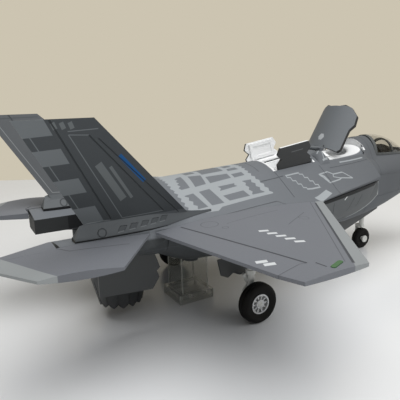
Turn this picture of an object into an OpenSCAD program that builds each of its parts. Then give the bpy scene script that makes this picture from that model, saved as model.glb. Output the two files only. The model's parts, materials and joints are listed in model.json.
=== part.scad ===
// Toy jet airplane on its wheels and clear stand, with its vertical-landing doors open.
// Frame: +X towards the nose, +Y to the left wing, +Z up, ground at Z = 0, millimetres.
// A station is a distance back from the nose tip.

/* [Overall] */
// Station of the rearmost corner of the tailplanes
tail_station = 216.8; // [212:0.1:222]
// Span over both wing tips
wing_span = 148.4; // [138:0.1:160]
// Height of the wing plane above the ground
wing_plane_z = 35; // [34:0.1:38]

/* [Fuselage] */
// Length of the nose cone
nose_len = 25; // [23.5:0.1:25.5]
// Half width of the body ahead of the intakes
front_half_w = 15; // [14:0.1:15.5]
// Station where the intake lips begin
lip_front = 61; // [60.4:0.1:61.6]
// Half width over the intake lips
lip_half_w = 21.3; // [20:0.1:23]
// Half width of the body at the wing roots
body_half_w = 25; // [24.5:0.1:27]
// Rise of the spine above the wing plane
spine_rise = 15.6; // [15:0.1:17]
// Drop of the belly below the wing plane
belly_drop = 17; // [16:0.1:18]
// Wall of the body shells
shell_wall = 1.2; // [1:0.05:1.5]
// Gap left at the seams between shells
seam_gap = 0.06; // [0.04:0.01:0.12]
// Station where the shells end and the tail booms begin
shell_end = 165; // [163:0.1:166.5]

/* [Wings] */
// Station of the leading edge at the root
wing_root_le = 102.7; // [100:0.1:106]
// Chord at the root
wing_root_chord = 66.6; // [63:0.1:68]
// Station of the leading edge at the tip
wing_tip_le = 138.8; // [134:0.1:144]
// Chord at the tip
wing_tip_chord = 19.5; // [16:0.1:24]
// Greatest thickness at the root
wing_root_t = 4.4; // [4:0.1:5]
// Greatest thickness at the tip
wing_tip_t = 1.5; // [1.2:0.1:2]
// Thickness of the leading and trailing edges
wing_edge_t = 0.9; // [0.7:0.05:1.1]
// Diameter of the pegs that join a wing to the shells
wing_peg_d = 2; // [1.6:0.1:2.2]

/* [Tail] */
// Station of the rear end of the booms
boom_end = 196.4; // [193:0.1:200]
// Gap between the wing's trailing edge and the tailplane at the root
stab_gap = 1.7; // [1.2:0.1:4]
// Width of one tailplane, root to the tip's front corner
stab_width = 20.7; // [18:0.1:24]
// Station of the tailplane's leading edge at its tip
stab_tip_le = 186.5; // [184:0.1:189]
// Chord of the tailplane's tip
stab_tip_chord = 18.6; // [15:0.1:21]
// How far the tip's rear corner lies inside its front corner
stab_tip_lean = 2.8; // [0:0.1:4]
// Thickness of the tailplane
stab_t = 2; // [1.3:0.1:2.4]
// Station of the tailplane's pivot
stab_pivot = 190; // [186:0.1:193]
// Diameter of the tailplane's pivot pin
stab_pin_d = 2.2; // [1.8:0.1:2.6]
// Station of the fin's leading edge at its root
fin_root_le = 156.5; // [154:0.1:159]
// Chord of the fin at its root
fin_root_chord = 31.5; // [30:0.1:34]
// Station of the fin's leading edge at its tip
fin_tip_le = 187.9; // [184:0.1:191]
// Chord of the fin at its tip
fin_tip_chord = 17.9; // [15:0.1:20]
// Height of the fin tips above the wing plane
fin_rise = 34; // [31:0.1:37]
// Outward lean of the fins in degrees
fin_cant = 24.5; // [20:0.5:28]
// Thickness of the fin at its root
fin_t = 1.7; // [1.4:0.1:2]

/* [Cockpit] */
// Station of the canopy's front end
canopy_front = 26.5; // [26.2:0.1:27.5]
// Station of the canopy's rear end
canopy_rear = 52.4; // [51.5:0.1:53]
// Half width of the canopy at its sill
canopy_half_w = 7.4; // [6.8:0.1:7.8]
// Height of the canopy's top above the wing plane
canopy_rise = 20.2; // [19.5:0.1:21.5]
// Thickness of the canopy glass
glass_t = 0.8; // [0.6:0.05:1]

/* [Lift fan] */
// Station of the fan's upright axis
fan_station = 73.4; // [72.8:0.1:74]
// Diameter of the fan duct's bore
fan_bore_d = 16.4; // [15:0.1:17]
// Number of fan blades
fan_blades = 18; // [12:1:22]
// Station of the fan door's hinge
fan_hinge = 83; // [82.5:0.1:84]
// Length of the fan door
fan_door_len = 22; // [21:0.1:22.4]
// Half width of the fan door
fan_door_half_w = 10.4; // [9.8:0.1:10.7]
// Angle that the fan door stands open
fan_door_open = 53; // [45:1:62]

/* [Auxiliary inlet] */
// Station of the front end of the inlet doors
aux_front = 94; // [93:0.1:96]
// Length of the inlet doors
aux_len = 18; // [16:0.1:20]
// Distance of each inlet door's hinge from the middle
aux_hinge_y = 9.1; // [8.6:0.1:9.6]
// Thickness of the door sheets
door_t = 0.9; // [0.7:0.05:1.1]
// Outward lean of the open inlet doors in degrees
aux_tilt = 8; // [0:1:12]
// Slope of the inlet down towards the tail in degrees
aux_pitch = 8; // [6:0.5:9]
// Diameter of the door hinge pins
hinge_pin_d = 0.9; // [0.7:0.05:1]

/* [Nozzle] */
// Station of the first nozzle bearing
bearing_station = 160; // [159:0.1:161]
// Drop of the engine axis below the wing plane
engine_drop = 1; // [0.8:0.1:1.6]
// Length of the first duct along the engine axis
duct_front_len = 5; // [4.5:0.1:5.5]
// Length of the middle duct
duct_mid_len = 11; // [10:0.1:12]
// Length of the last duct with its petals
duct_rear_len = 21; // [19:0.1:22]
// Outside diameter of the ducts
duct_d = 19; // [17.5:0.1:19.2]
// Wall of the ducts
duct_wall = 1.4; // [1:0.1:1.8]
// Outside diameter of the last duct's flange
flange_d = 22.2; // [20.5:0.1:23]
// Outside diameter of the exit
exit_d = 14.8; // [13:0.1:16]
// Number of petals
petals = 14; // [10:1:16]
// Running gap between the ducts
duct_gap = 0.2; // [0.15:0.05:0.3]

/* [Landing gear] */
// Station of the main wheels
main_station = 136.5; // [133:0.1:140]
// Diameter of the main wheels
main_wheel_d = 13.7; // [12.5:0.1:15]
// Width of the main wheels
main_wheel_w = 4.4; // [3.8:0.1:5]
// Diameter of the main hubs
main_hub_d = 6.8; // [6:0.1:7.6]
// Station of the nose wheel
nose_wheel_station = 49.6; // [48:0.1:51]
// Diameter of the nose wheel
nose_wheel_d = 9.9; // [9:0.1:11]
// Width of the nose wheel
nose_wheel_w = 3.4; // [3:0.1:3.8]
// Diameter of the nose hub
nose_hub_d = 4.8; // [4.2:0.1:5.4]
// Diameter of the wheel axles
axle_d = 1.6; // [1.3:0.1:1.8]
// Diameter of the main legs
leg_d = 2.6; // [2.2:0.1:3]

/* [Stand] */
// Station of the stand's middle
stand_station = 146; // [143:0.1:148]
// Length of the stand's base
stand_len = 14; // [12:0.1:16]
// Width of the stand's base
stand_w = 13.5; // [12:0.1:16]
// Thickness of the stand's base
stand_t = 3.5; // [2.5:0.1:4.5]
// Side of the stand's square column
column_w = 11; // [9:0.1:11.8]
// Diameter of the column's locating peg
column_peg_d = 4; // [3:0.1:5]

/* [Hidden] */
$fn = 48;

// Clearances
fit = 0.05;
seat_gap = 0.12;
run_gap = 0.3;
cut = 1;

// Key places worked out from the driving sizes
nose_x = tail_station / 2;
wz = wing_plane_z;
belly_z = wz - belly_drop;
engine_z = wz - engine_drop;
canopy_mid = canopy_rear - 6.4;
hump_front = canopy_rear + 0.3;
lip_full = lip_front + 5;
shell_join = wing_root_le + 2.3;
wing_root_te = wing_root_le + wing_root_chord;
wing_tip_y = wing_span / 2;
deck_end = shell_end + 11;
bay_half_w = 13.4;
belly_flat = [wing_root_le + 17.3, bearing_station - 8];
aux_rear = aux_front + aux_len;
aux_mid = aux_front + aux_len / 2;
stab_root_le = wing_root_te + stab_gap;

// Interpolation through a short list of [station, value] pairs, straight or smooth
function piece_of(x, list, i = 0) = (i >= len(list) - 2 || x < list[i + 1][0]) ? i : piece_of(x, list,
    i + 1);
function slope_at(list, i) =
    let (a = max(i - 1, 0), b = min(i + 1, len(list) - 1))
    (list[b][1] - list[a][1]) / (list[b][0] - list[a][0]);
function smooth_line(x, list) =
    let (i = piece_of(x, list), h = list[i + 1][0] - list[i][0])
    let (u = min(max((x - list[i][0]) / h, 0), 1), v = 1 - u)
    list[i][1] * (1 + 2 * u) * v * v + slope_at(list, i) * h * u * v * v
    + list[i + 1][1] * (3 - 2 * u) * u * u - slope_at(list, i + 1) * h * u * u * v;
function mix(a, b, u) = a + (b - a) * u;
function ease(u) = let (v = min(max(u, 0), 1)) v * v * (3 - 2 * v);
function spread(keys, counts) = concat(
    [for (k = [0:len(counts) - 1]) for (i = [0:counts[k] - 1]) mix(keys[k], keys[k + 1], i / counts[k])],
    [keys[len(keys) - 1]]);

// Outlines of the body along its length
front_w_line = [[nose_len, front_half_w * 0.64], [canopy_mid, front_half_w * 0.88],
    [lip_front, front_half_w], [shell_join, front_half_w]];
half_w_line = concat([for (i = [0:2]) front_w_line[i]],
    [[lip_full, lip_half_w], [wing_root_le, body_half_w], [tail_station, body_half_w]]);
chine_line = [[nose_len, 2.6], [lip_front, 4], [lip_full, 3.9], [wing_root_le, 0], [tail_station, 0]];
edge_line = [[nose_len, 0.8], [lip_full, 0.9], [wing_root_le, wing_edge_t / 2]];
top_line = [[nose_len, spine_rise - 6], [canopy_front + 7.5, spine_rise - 2.6],
    [canopy_mid, spine_rise - 3], [hump_front + 2, spine_rise - 2.6],
    [lip_front, spine_rise - 1.2], [lip_full, spine_rise - 0.2],
    [fan_station, spine_rise - 0.2], [fan_hinge + 2, spine_rise + 0.1], [aux_front - 1, spine_rise + 0.2],
    [aux_mid, spine_rise - 0.6], [aux_rear + 2, spine_rise - 2.1], [aux_rear + 14, spine_rise - 2.8],
    [bearing_station - 12, spine_rise - 4], [shell_end, spine_rise - 4.8], [deck_end, spine_rise - 5.3]];
hump_line = [[hump_front, canopy_rise - spine_rise + 2.5], [lip_front - 2, 5.7], [lip_front + 1, 3.5],
    [lip_full, 0.8], [fan_station, 0]];
hump_w_line = [[hump_front, canopy_half_w + 0.8], [lip_front, canopy_half_w + 2.6],
    [fan_station, canopy_half_w + 4.6]];
crown_line = [[nose_len, 0.62], [lip_front, 0.72], [fan_station, 1.05], [wing_root_le, 1.45],
    [tail_station, 1.45]];
keel_line = [[nose_len, belly_drop - 7], [canopy_mid, belly_drop - 3], [lip_front, belly_drop - 1.6],
    [fan_hinge - 5, belly_drop - 0.5], [shell_join, belly_drop - 0.1], [belly_flat[0], belly_drop],
    [belly_flat[1], belly_drop], [shell_end, belly_drop - 5.5]];
nose_keel_power = 0.42;
front_keel_power = [[nose_len, nose_keel_power], [canopy_mid, 0.25], [lip_front, 0.15],
    [fan_hinge - 5, 0.1], [shell_join, 0.1]];
rear_keel_power = 0.38;

function at(s) = nose_x - s;
function wing_half_t(f) =
    wing_edge_t / 2 + (wing_root_t - wing_edge_t) * 2 * max(f, 0) * (1 - min(f, 1));
function half_w(s) = lookup(s, half_w_line);
function seam_z(s) = wz + lookup(s, chine_line);
function edge_t(s) =
    s < wing_root_le ? lookup(s, edge_line) : wing_half_t((s - wing_root_le) / wing_root_chord);
function edge_z(s) = seam_z(s) + edge_t(s);
function top_z(s) = wz + smooth_line(s, top_line);
function dome(t, power) = pow(max(0, 1 - t * t), power);
function hump(s, y) = s > hump_front
    ? smooth_line(s, hump_line) * dome(min(1, abs(y) / lookup(s, hump_w_line)), 0.6) : 0;
function upper_z(s, y) = edge_z(s) + hump(s, y)
    + (top_z(s) - edge_z(s)) * dome(min(1, abs(y) / half_w(s)), smooth_line(s, crown_line));
function keel_z(s) = wz - smooth_line(s, keel_line);
function front_keel_z(s, y) =
    let (t = min(1, abs(y) / lookup(s, front_w_line)))
    seam_z(s) - (seam_z(s) - keel_z(s)) * dome(t, smooth_line(s, front_keel_power));
function rear_keel_z(s, y) =
    let (top = seam_z(s) - edge_t(s))
    top - (top - keel_z(s)) * dome(min(1, abs(y) / body_half_w), rear_keel_power);

// One solid between two matching skins, each a list of rings of points
module skin_pair(outer, inner, flip = false) {
    rows = len(outer);
    m = len(outer[0]);
    points = [for (r = [0:rows - 1]) each concat(outer[r], inner[r])];
    function o(r, i) = r * 2 * m + i;
    function n(r, i) = r * 2 * m + m + i;
    quads = concat(
        [for (r = [0:rows - 2]) for (i = [0:m - 2]) [o(r, i), o(r, i + 1), o(r + 1, i + 1), o(r + 1, i)]],
        [for (r = [0:rows - 2]) for (i = [0:m - 2]) [n(r, i), n(r + 1, i), n(r + 1, i + 1), n(r, i + 1)]],
        [for (r = [0:rows - 2]) [o(r, 0), o(r + 1, 0), n(r + 1, 0), n(r, 0)]],
        [for (r = [0:rows - 2]) [o(r, m - 1), n(r, m - 1), n(r + 1, m - 1), o(r + 1, m - 1)]],
        [for (i = [0:m - 2]) [o(0, i), n(0, i), n(0, i + 1), o(0, i + 1)]],
        [for (i = [0:m - 2]) [o(rows - 1, i), o(rows - 1, i + 1), n(rows - 1, i + 1), n(rows - 1, i)]]);
    triangles = [for (q = quads) each [[q[0], q[1], q[2]], [q[0], q[2], q[3]]]];
    polyhedron(points, flip ? [for (t = triangles) [t[2], t[1], t[0]]] : triangles);
}

module box(s, y, z) translate([at(s[1]), y[0], z[0]]) cube([s[1] - s[0], y[1] - y[0], z[1] - z[0]]);
module along_x(s, y, z, d) translate([at(s[1]), y, z]) rotate([0, 90, 0]) cylinder(d = d, h = s[1] - s[0]);
module along_y(s, y, z, d) translate([at(s), y[0], z]) rotate([-90, 0, 0]) cylinder(d = d, h = y[1] - y[0]);
module along_z(s, y, z, d) translate([at(s), y, z[0]]) cylinder(d = d, h = z[1] - z[0]);
module both_sides() {
    children();
    mirror([0, 1, 0]) children();
}

// Body shells
body_steps = 26;
peg_stations = [wing_root_le + 20, wing_root_le + 46];
screw_stations = [aux_rear + 9, bearing_station - 10];
screw_y = 10;
screw_d = 2;
screw_reach = 6;
post_d = 4.2;
head_d = 3.8;

function arch(s, w, base, top, power, count) =
    [for (i = [0:count]) let (t = cos(180 * i / count)) [at(s), w * t, base + (top - base) * dome(t,
        power)]];
function upper_outer(s) =
    let (w = half_w(s), low = seam_z(s) + seam_gap / 2)
    concat([[at(s), w, low]],
        [for (i = [0:body_steps]) let (y = w * cos(180 * i / body_steps)) [at(s), y, upper_z(s, y)]],
        [[at(s), -w, low]]);
function upper_inner(s) = arch(s, half_w(s) - shell_wall, seam_z(s) + seam_gap / 2, top_z(s) - shell_wall,
    smooth_line(s, crown_line), body_steps + 2);

module wing_pegs(d, y) for (s = peg_stations) along_y(s, y, wz, d);
module screw_places() for (s = screw_stations) for (y = [-screw_y, screw_y]) translate([at(s), y, 0])
    children();

cockpit_cut = [[canopy_front + 4, 2.6], [canopy_mid - 8, canopy_half_w - 2],
    [canopy_mid, canopy_half_w - 1.5], [canopy_rear - 1, canopy_half_w - 1.7]];
fan_open = [fan_hinge - fan_door_len - 0.6, fan_hinge + 1.4];
fan_open_half_w = fan_door_half_w + 0.4;
fan_corner_r = 6;
hump_step = 0.3;
aux_open = [aux_front - 0.6, aux_rear + 0.6];
aux_open_half_w = aux_hinge_y + 1.2;
hinge_barrel_d = hinge_pin_d + 1;

// Fan door hinge, a little above the crown of the body
fan_hinge_z = top_z(fan_hinge) + 0.5;
fan_lug_y = [4.2, 6];
fan_lug_s = [fan_hinge - 0.9, fan_hinge + 2.6];
// Plan of the fan opening with rounded front corners, drawn in by a gap
module fan_hole(gap, rear, z) {
    w = fan_open_half_w - gap;
    r = fan_corner_r - gap;
    front = fan_open[0] + gap;
    box([front + r, rear], [-w, w], z);
    box([front, rear], [r - w, w - r], z);
    both_sides() along_z(front + r, w - r, z, 2 * r);
}

module upper_shell() color("#70767d") {
    keys = [nose_len + seam_gap, hump_front, hump_front + hump_step, lip_front, lip_full, wing_root_le,
        shell_end];
    stations = spread(keys, [7, 1, 4, 3, 8, 11]);
    difference() {
        union() {
            skin_pair([for (s = stations) upper_outer(s)], [for (s = stations) upper_inner(s)]);
            for (s = screw_stations) both_sides() along_z(s, screw_y,
                [wz + seam_gap, upper_z(s, screw_y + post_d / 2) - 0.4], post_d);
            both_sides() box([canopy_hinge_s - 0.8, canopy_hinge_s + 0.8], canopy_lug_y,
                [top_z(canopy_hinge_s) - shell_wall, canopy_hinge_z + 0.8]);
            both_sides() box(fan_lug_s, fan_lug_y, [fan_hinge_z - 2.6, fan_hinge_z + 0.9]);
        }
        translate([0, 0, wz + 6]) linear_extrude(30) polygon(concat(
            [for (p = cockpit_cut) [at(p[0]), p[1]]],
            [for (i = [len(cockpit_cut) - 1:-1:0]) [at(cockpit_cut[i][0]), -cockpit_cut[i][1]]]));
        fan_hole(0, fan_open[1], [wz + 6, fan_hinge_z - 2.6]);
        fan_hole(0, fan_lug_s[0], [wz + 6, wz + 30]);
        box([fan_lug_s[0] - 0.3, fan_open[1]], [-fan_lug_y[0], fan_lug_y[0]], [wz + 6, wz + 30]);
        aux_lean() box(aux_open, [-aux_open_half_w, aux_open_half_w], [wz + 6, wz + 30]);
        along_y(fan_hinge, [-fan_lug_y[1] - cut, fan_lug_y[1] + cut], fan_hinge_z, hinge_pin_d + 2 * fit);
        along_y(canopy_hinge_s, [-canopy_lug_y[1] - cut, canopy_lug_y[1] + cut], canopy_hinge_z,
            hinge_pin_d + 2 * fit);
        wing_pegs(wing_peg_d + 2 * fit, [-body_half_w - cut, body_half_w + cut]);
        screw_places() translate([0, 0, wz - cut])
            cylinder(d = screw_d + 2 * fit, h = cut + screw_reach + run_gap);
    }
}

function keel_ring(s, w, low, power, drop) =
    let (top = seam_z(s) - seam_gap / 2)
    concat([[at(s), w, top]],
        [for (i = [0:body_steps]) let (t = cos(180 * i / body_steps))
            [at(s), w * t, top - drop - (top - drop - low) * dome(t, power)]],
        [[at(s), -w, top]]);
function keel_inner(s, w, low, power) =
    let (top = seam_z(s) - seam_gap / 2)
    [for (i = [0:body_steps + 2]) let (t = cos(180 * i / (body_steps + 2)))
        [at(s), w * t, top - (top - low) * dome(t, power)]];

// Nose gear bay inside the front lower shell
nose_bay = [nose_wheel_station - 6, nose_wheel_station + 12];
nose_bay_half_w = 3.6;
bay_rib_t = 1.2;
trunnion_z = wz - 4;
trunnion_d = 2;

module lower_shell_front() color("#6a7077") {
    stations = spread([nose_len + seam_gap, lip_front, shell_join - seam_gap], [7, 7]);
    rib_y = nose_bay_half_w + bay_rib_t / 2;
    difference() {
        union() {
            skin_pair(
                [for (s = stations) keel_ring(s, lookup(s, front_w_line), keel_z(s),
                    smooth_line(s, front_keel_power), 0.3)],
                [for (s = stations) keel_inner(s, lookup(s, front_w_line) - shell_wall, keel_z(s)
                    + shell_wall,
                    smooth_line(s, front_keel_power))], true);
            both_sides() translate([0, nose_bay_half_w + bay_rib_t, 0]) rotate([90, 0, 0])
                linear_extrude(bay_rib_t) polygon([
                    [at(nose_bay[0]), front_keel_z(nose_bay[0], rib_y) + 0.6],
                    [at(nose_bay[0]), trunnion_z + 2.4],
                    [at(nose_bay[1]), trunnion_z + 2.4],
                    [at(nose_bay[1]), front_keel_z(nose_bay[1], rib_y) + 0.6]]);
        }
        box(nose_bay, [-nose_bay_half_w, nose_bay_half_w], [0, trunnion_z]);
        along_y(nose_wheel_station, [-nose_bay_half_w - 3, nose_bay_half_w + 3], trunnion_z, trunnion_d
            + 2 * fit);
        along_z(fan_station, 0, [0, wz], fan_bore_d + 2 * fan_duct_wall + 2 * seat_gap);
    }
}

// Main gear bays in the rear lower shell
main_bay = [main_station - 9.5, main_station + 9.5];
main_bay_z = [wz - 16, wz - 4];
main_bay_y = body_half_w - 7;

module lower_shell_rear() color("#6a7077") {
    stations = spread([shell_join, belly_flat[0], belly_flat[1], shell_end], [2, 4, 4]);
    difference() {
        union() {
            skin_pair(
                [for (s = stations) keel_ring(s, body_half_w, keel_z(s), rear_keel_power, edge_t(s))],
                [for (s = stations) keel_inner(s, body_half_w - shell_wall, keel_z(s) + shell_wall,
                    rear_keel_power)], true);
            screw_places() translate([0, 0, belly_z + 0.5])
                cylinder(d = post_d + 1, h = wz - belly_z - 0.5 - seam_gap);
            both_sides() box([main_bay[0] - 1, main_bay[1] + 1], [main_bay_y - bay_rib_t, main_bay_y],
                [rear_keel_z(main_station, main_bay_y), main_bay_z[1] + 1.6]);
        }
        box([bearing_station - 0.5, shell_end + cut], [-bay_half_w, bay_half_w], [0, wz + cut]);
        both_sides() box(main_bay, [main_bay_y, body_half_w + cut], main_bay_z);
        wing_pegs(wing_peg_d + 2 * fit, [-body_half_w - cut, body_half_w + cut]);
        screw_places() translate([0, 0, belly_z - cut]) cylinder(d = screw_d + 2 * fit, h = wz);
        screw_places() translate([0, 0, belly_z - cut]) cylinder(d = head_d + 2 * fit, h = cut + 1.6);
        along_z(stand_station, 0, [0, belly_z + 3], column_peg_d + 2 * fit);
    }
}

nose_tip_z = wz - 0.2;
nose_tip_r = 0.5;
module nose_cone() {
    rows = 9;
    function swell(u, power = 1.75) = 1 - pow(1 - u, power);
    function ring(u, up) =
        let (w = mix(nose_tip_r, half_w(nose_len), swell(u)), mid = mix(nose_tip_z, seam_z(nose_len), u))
        let (high = mix(nose_tip_z + nose_tip_r, top_z(nose_len), swell(u, 1.3)))
        let (low = mix(nose_tip_z - nose_tip_r, keel_z(nose_len), swell(u)))
        let (edge = up ? mix(0.15, edge_t(nose_len), u) : -0.15)
        [for (i = [0:body_steps]) let (t = cos(180 * i / body_steps))
            [at(u * nose_len), w * t,
                mid + edge + ((up ? high : low) - mid - edge) * dome(t, up ? 0.62 : nose_keel_power)]];
    color("#666c73") skin_pair([for (r = [0:rows]) ring(r / rows, true)], [for (r = [0:rows])
        ring(r / rows, false)]);
}

module tail_deck() {
    stations = spread([shell_end + seam_gap, deck_end], [4]);
    steps = 14;
    w = bay_half_w - seam_gap;
    function ring(s, drop) = [for (i = [0:steps]) let (y = w * (1 - 2 * i / steps)) [at(s), y,
        upper_z(s, y) - drop]];
    color("#70767d") skin_pair([for (s = stations) ring(s, 0)], [for (s = stations) ring(s, shell_wall)]);
}

// Wing: thickness follows a parabola across the chord
wing_steps = 12;
flap_tip_y = wing_tip_y - 6.2;
function wing_le(y) = mix(wing_root_le, wing_tip_le, (y - body_half_w) / (wing_tip_y - body_half_w));
function wing_te(y) =
    let (kink = mix(wing_root_te, wing_tip_le + wing_tip_chord,
        (flap_tip_y - body_half_w) / (wing_tip_y - body_half_w)) + 0.9)
    y < flap_tip_y ? mix(wing_root_te, kink, (y - body_half_w) / (flap_tip_y - body_half_w))
        : mix(kink, wing_tip_le + wing_tip_chord, (y - flap_tip_y) / (wing_tip_y - flap_tip_y));
function wing_t(y, f) =
    let (full = mix(wing_root_t, wing_tip_t, (y - body_half_w) / (wing_tip_y - body_half_w)))
    wing_edge_t / 2 + (full - wing_edge_t) * 2 * f * (1 - f);
function wing_row(y, side) = [for (i = [0:wing_steps]) let (f = i / wing_steps)
    [at(mix(wing_le(y), wing_te(y), f)), y, wz + side * wing_t(y, f)]];
leg_y = body_half_w + 1.7;
leg_peg_d = 1.8;
nav_d = 1.2;
nav_proud = 0.15;
nav_len = 5;
nav_sink = 0.5;
nav_s = wing_tip_le + 7.4;
nav_y = wing_tip_y - 2.7;

module nav_shape(grow, h) {
    for (e = [-1, 1]) translate([e * (nav_len - nav_d) / 2, 0, 0]) cylinder(d = nav_d + 2 * grow, h = h);
    translate([-(nav_len - nav_d) / 2, -nav_d / 2 - grow, 0]) cube([nav_len - nav_d, nav_d + 2 * grow, h]);
}
module nav_place() translate([at(nav_s), nav_y, wz + wing_t(nav_y, 0.4) - nav_sink]) rotate([0, 0, -20])
    children();

module wing() color("#787e85") {
    rows = [body_half_w + seam_gap, mix(body_half_w, flap_tip_y, 0.5), flap_tip_y, wing_tip_y];
    difference() {
        union() {
            skin_pair([for (y = rows) wing_row(y, 1)], [for (y = rows) wing_row(y, -1)]);
            wing_pegs(wing_peg_d, [body_half_w - 2, body_half_w + 4]);
        }
        along_z(main_station, leg_y, [wz - 4, wz + 0.6], leg_peg_d + 2 * fit);
        nav_place() nav_shape(fit, 2);
    }
}
module left_wing() wing();
module right_wing() mirror([0, 1, 0]) wing();
module nav_light(c) color(c) nav_place() nav_shape(0, nav_sink + nav_proud);
module left_nav_light() nav_light("#b3202a");
module right_nav_light() mirror([0, 1, 0]) nav_light("#2f7a35");

// Intake: one swept wall that runs down the outside and under the duct
intake_inner_y = front_half_w + seam_gap;
intake_wall = 1.1;
intake_steps = 12;
intake_sweep = 17.5;
intake_bend = 2.2;
intake_lip = lip_front + 1;
intake_end = shell_join - seam_gap;
function intake_ring(u, inset, shrink) = [for (i = [0:intake_steps])
    let (a = i / intake_steps, fall = dome(mix(1, intake_inner_y / body_half_w, a), rear_keel_power))
    let (fall_end = dome(intake_inner_y / body_half_w, rear_keel_power))
    let (lip = intake_lip + intake_sweep * pow(fall / fall_end, intake_bend) + 2 * (1 - a))
    let (s = mix(lip, intake_end, u))
    let (w = mix(half_w(s), body_half_w, u), top = seam_z(s) - run_gap)
    let (y = mix(w - inset, intake_inner_y, a), depth = wz - keel_z(shell_join) - inset)
    [at(s), mix(intake_inner_y, y, shrink), top - depth * fall * shrink]];
module intake() color("#6d737a") {
    rows = 6;
    skin_pair([for (r = [0:rows]) intake_ring(r / rows, 0, 1)],
        [for (r = [0:rows]) intake_ring(r / rows, intake_wall, r == rows ? 0.1 : 1)], true);
}
module left_intake() intake();
module right_intake() mirror([0, 1, 0]) intake();

// Tail booms beside the nozzle bay
boom_outer_y = body_half_w - 0.5;
boom_end_y = bay_half_w + 0.1;
boom_end_rise = 1;
boom_end_fall = 1.5;
boom_end_drop = 5.5;
boom_steps = 8;
stab_inner_y = body_half_w - 0.1;
function boom_u(s) = (s - shell_end) / (boom_end - shell_end);
function boom_y(s, f) =
    let (u = boom_u(s))
    mix(mix(body_half_w, boom_outer_y, ease(u * 6)), mix(bay_half_w + seam_gap, boom_end_y, ease(u)), f);
function boom_top(s, y) =
    let (inward = max(boom_outer_y - y, 0) / (boom_outer_y - boom_end_y))
    mix(upper_z(shell_end, y), wz + boom_end_rise - boom_end_fall * pow(inward, 1.5), ease(boom_u(s) * 1.9));
function boom_low(s, y) = mix(rear_keel_z(shell_end, y), wz - boom_end_drop, ease(boom_u(s) * 1.4));
module boom() color("#70767d") {
    stations = spread([shell_end + seam_gap, wing_root_te, boom_end], [2, 8]);
    difference() {
        skin_pair(
            [for (s = stations) [for (i = [0:boom_steps]) let (y = boom_y(s, i / boom_steps))
                [at(s), y, boom_top(s, y)]]],
            [for (s = stations) [for (i = [0:boom_steps]) let (y = boom_y(s, i / boom_steps))
                [at(s), y, boom_low(s, y)]]]);
        along_y(stab_pivot, [boom_outer_y - stab_pin_len, boom_outer_y + cut], stab_pivot_z, stab_pin_d
            + 2 * fit);
    }
}
module left_boom() boom();
module right_boom() mirror([0, 1, 0]) boom();

// Fin with the long fairing at its foot
fairing = [fin_root_le - 8, fin_root_le + fin_root_chord + 4];
fairing_y = body_half_w - 3.2;
fairing_half_w = 2.5;
fairing_h = 4.6;
fairing_lip = 0.9;
fairing_rake = 1.9;
fin_tip_t = 1;
fin_steps = 10;
fin_foot_z = wz + 3.4;
fin_top_z = wz + fin_rise;
function body_top(s, y) = s < shell_end ? upper_z(s, y) : boom_top(s, y);
module fin() {
    rows = 12;
    steps = 8;
    function fairing_row(u, up) =
        let (s = mix(fairing[0], fairing[1], u), swell = 0.1 + 0.9 * ease(u * 1.7) - 0.2 * ease(u * 8 - 7))
        [for (i = [0:steps]) let (t = 1 - 2 * i / steps, y = fairing_y + t * fairing_half_w * swell)
            let (h = up ? fairing_h * swell * pow(1 - abs(t), 1.1) : 0)
            let (rake = fairing_rake * h / fairing_h * ease(u * 6 - 5))
            [at(s - rake), y + h * tan(fin_cant) * 0.8, body_top(s, y) + seat_gap + (up ? fairing_lip * swell
                : 0) + h]];
    function blade_row(z, side) =
        let (u = (z - fin_foot_z) / (fin_top_z - fin_foot_z), le = mix(fin_root_le, fin_tip_le, u))
        let (te = le + mix(fin_root_chord, fin_tip_chord, u), half = mix(fin_t, fin_tip_t, u) / 2)
        [for (i = [0:fin_steps]) let (f = i / fin_steps)
            [at(mix(le, te, f)), fairing_y + (z - fin_foot_z) * tan(fin_cant)
                + side * half * (0.35 + 2.6 * f * (1 - f)), z]];
    color("#45494e") union() {
        skin_pair([for (r = [0:rows]) fairing_row(r / rows, true)], [for (r = [0:rows])
            fairing_row(r / rows, false)]);
        skin_pair([for (z = [fin_foot_z, fin_top_z]) blade_row(z, -1)], [for (z = [fin_foot_z,
            fin_top_z]) blade_row(z, 1)]);
    }
}
module left_fin() fin();
module right_fin() mirror([0, 1, 0]) fin();

// All-moving tailplane on a pivot pin
stab_z = wz + 0.1;
stab_pivot_z = stab_z - 1.5;
stab_pin_len = 4;
stab_edge = 0.35;
stab_slot = 0.8;
stab_tab_y = boom_end_y + 5;
module tailplane() {
    rows = [[stab_inner_y, stab_root_le, tail_station, 0], [stab_inner_y + stab_width, stab_tip_le,
        stab_tip_le + stab_tip_chord, stab_tip_lean]];
    steps = 8;
    tab_front = boom_end + stab_slot;
    tab = [[stab_tab_y, tab_front + 0.9], [stab_inner_y, tail_station - 0.2],
        [stab_inner_y + 1, tail_station - 1]];
    function half_t(f) = stab_edge + (stab_t / 2 - stab_edge) * 4 * f * (1 - f);
    function row(p, side) = [for (i = [0:steps]) let (f = i / steps)
        [at(mix(p[1], p[2], f)), p[0] - p[3] * f, stab_z + side * half_t(f)]];
    function tab_row(p, side) = [for (i = [0:steps]) let (s = mix(tab_front, p[1], i / steps))
        [at(s), p[0], stab_z + side * half_t((s - stab_root_le) / (tail_station - stab_root_le))]];
    color("#787e85") union() {
        skin_pair([for (p = rows) row(p, 1)], [for (p = rows) row(p, -1)]);
        skin_pair([for (p = tab) tab_row(p, 1)], [for (p = tab) tab_row(p, -1)]);
        along_y(stab_pivot, [boom_outer_y - stab_pin_len + run_gap, stab_inner_y + 4], stab_pivot_z,
            stab_pin_d);
    }
}
module left_tailplane() tailplane();
module right_tailplane() mirror([0, 1, 0]) tailplane();

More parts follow.
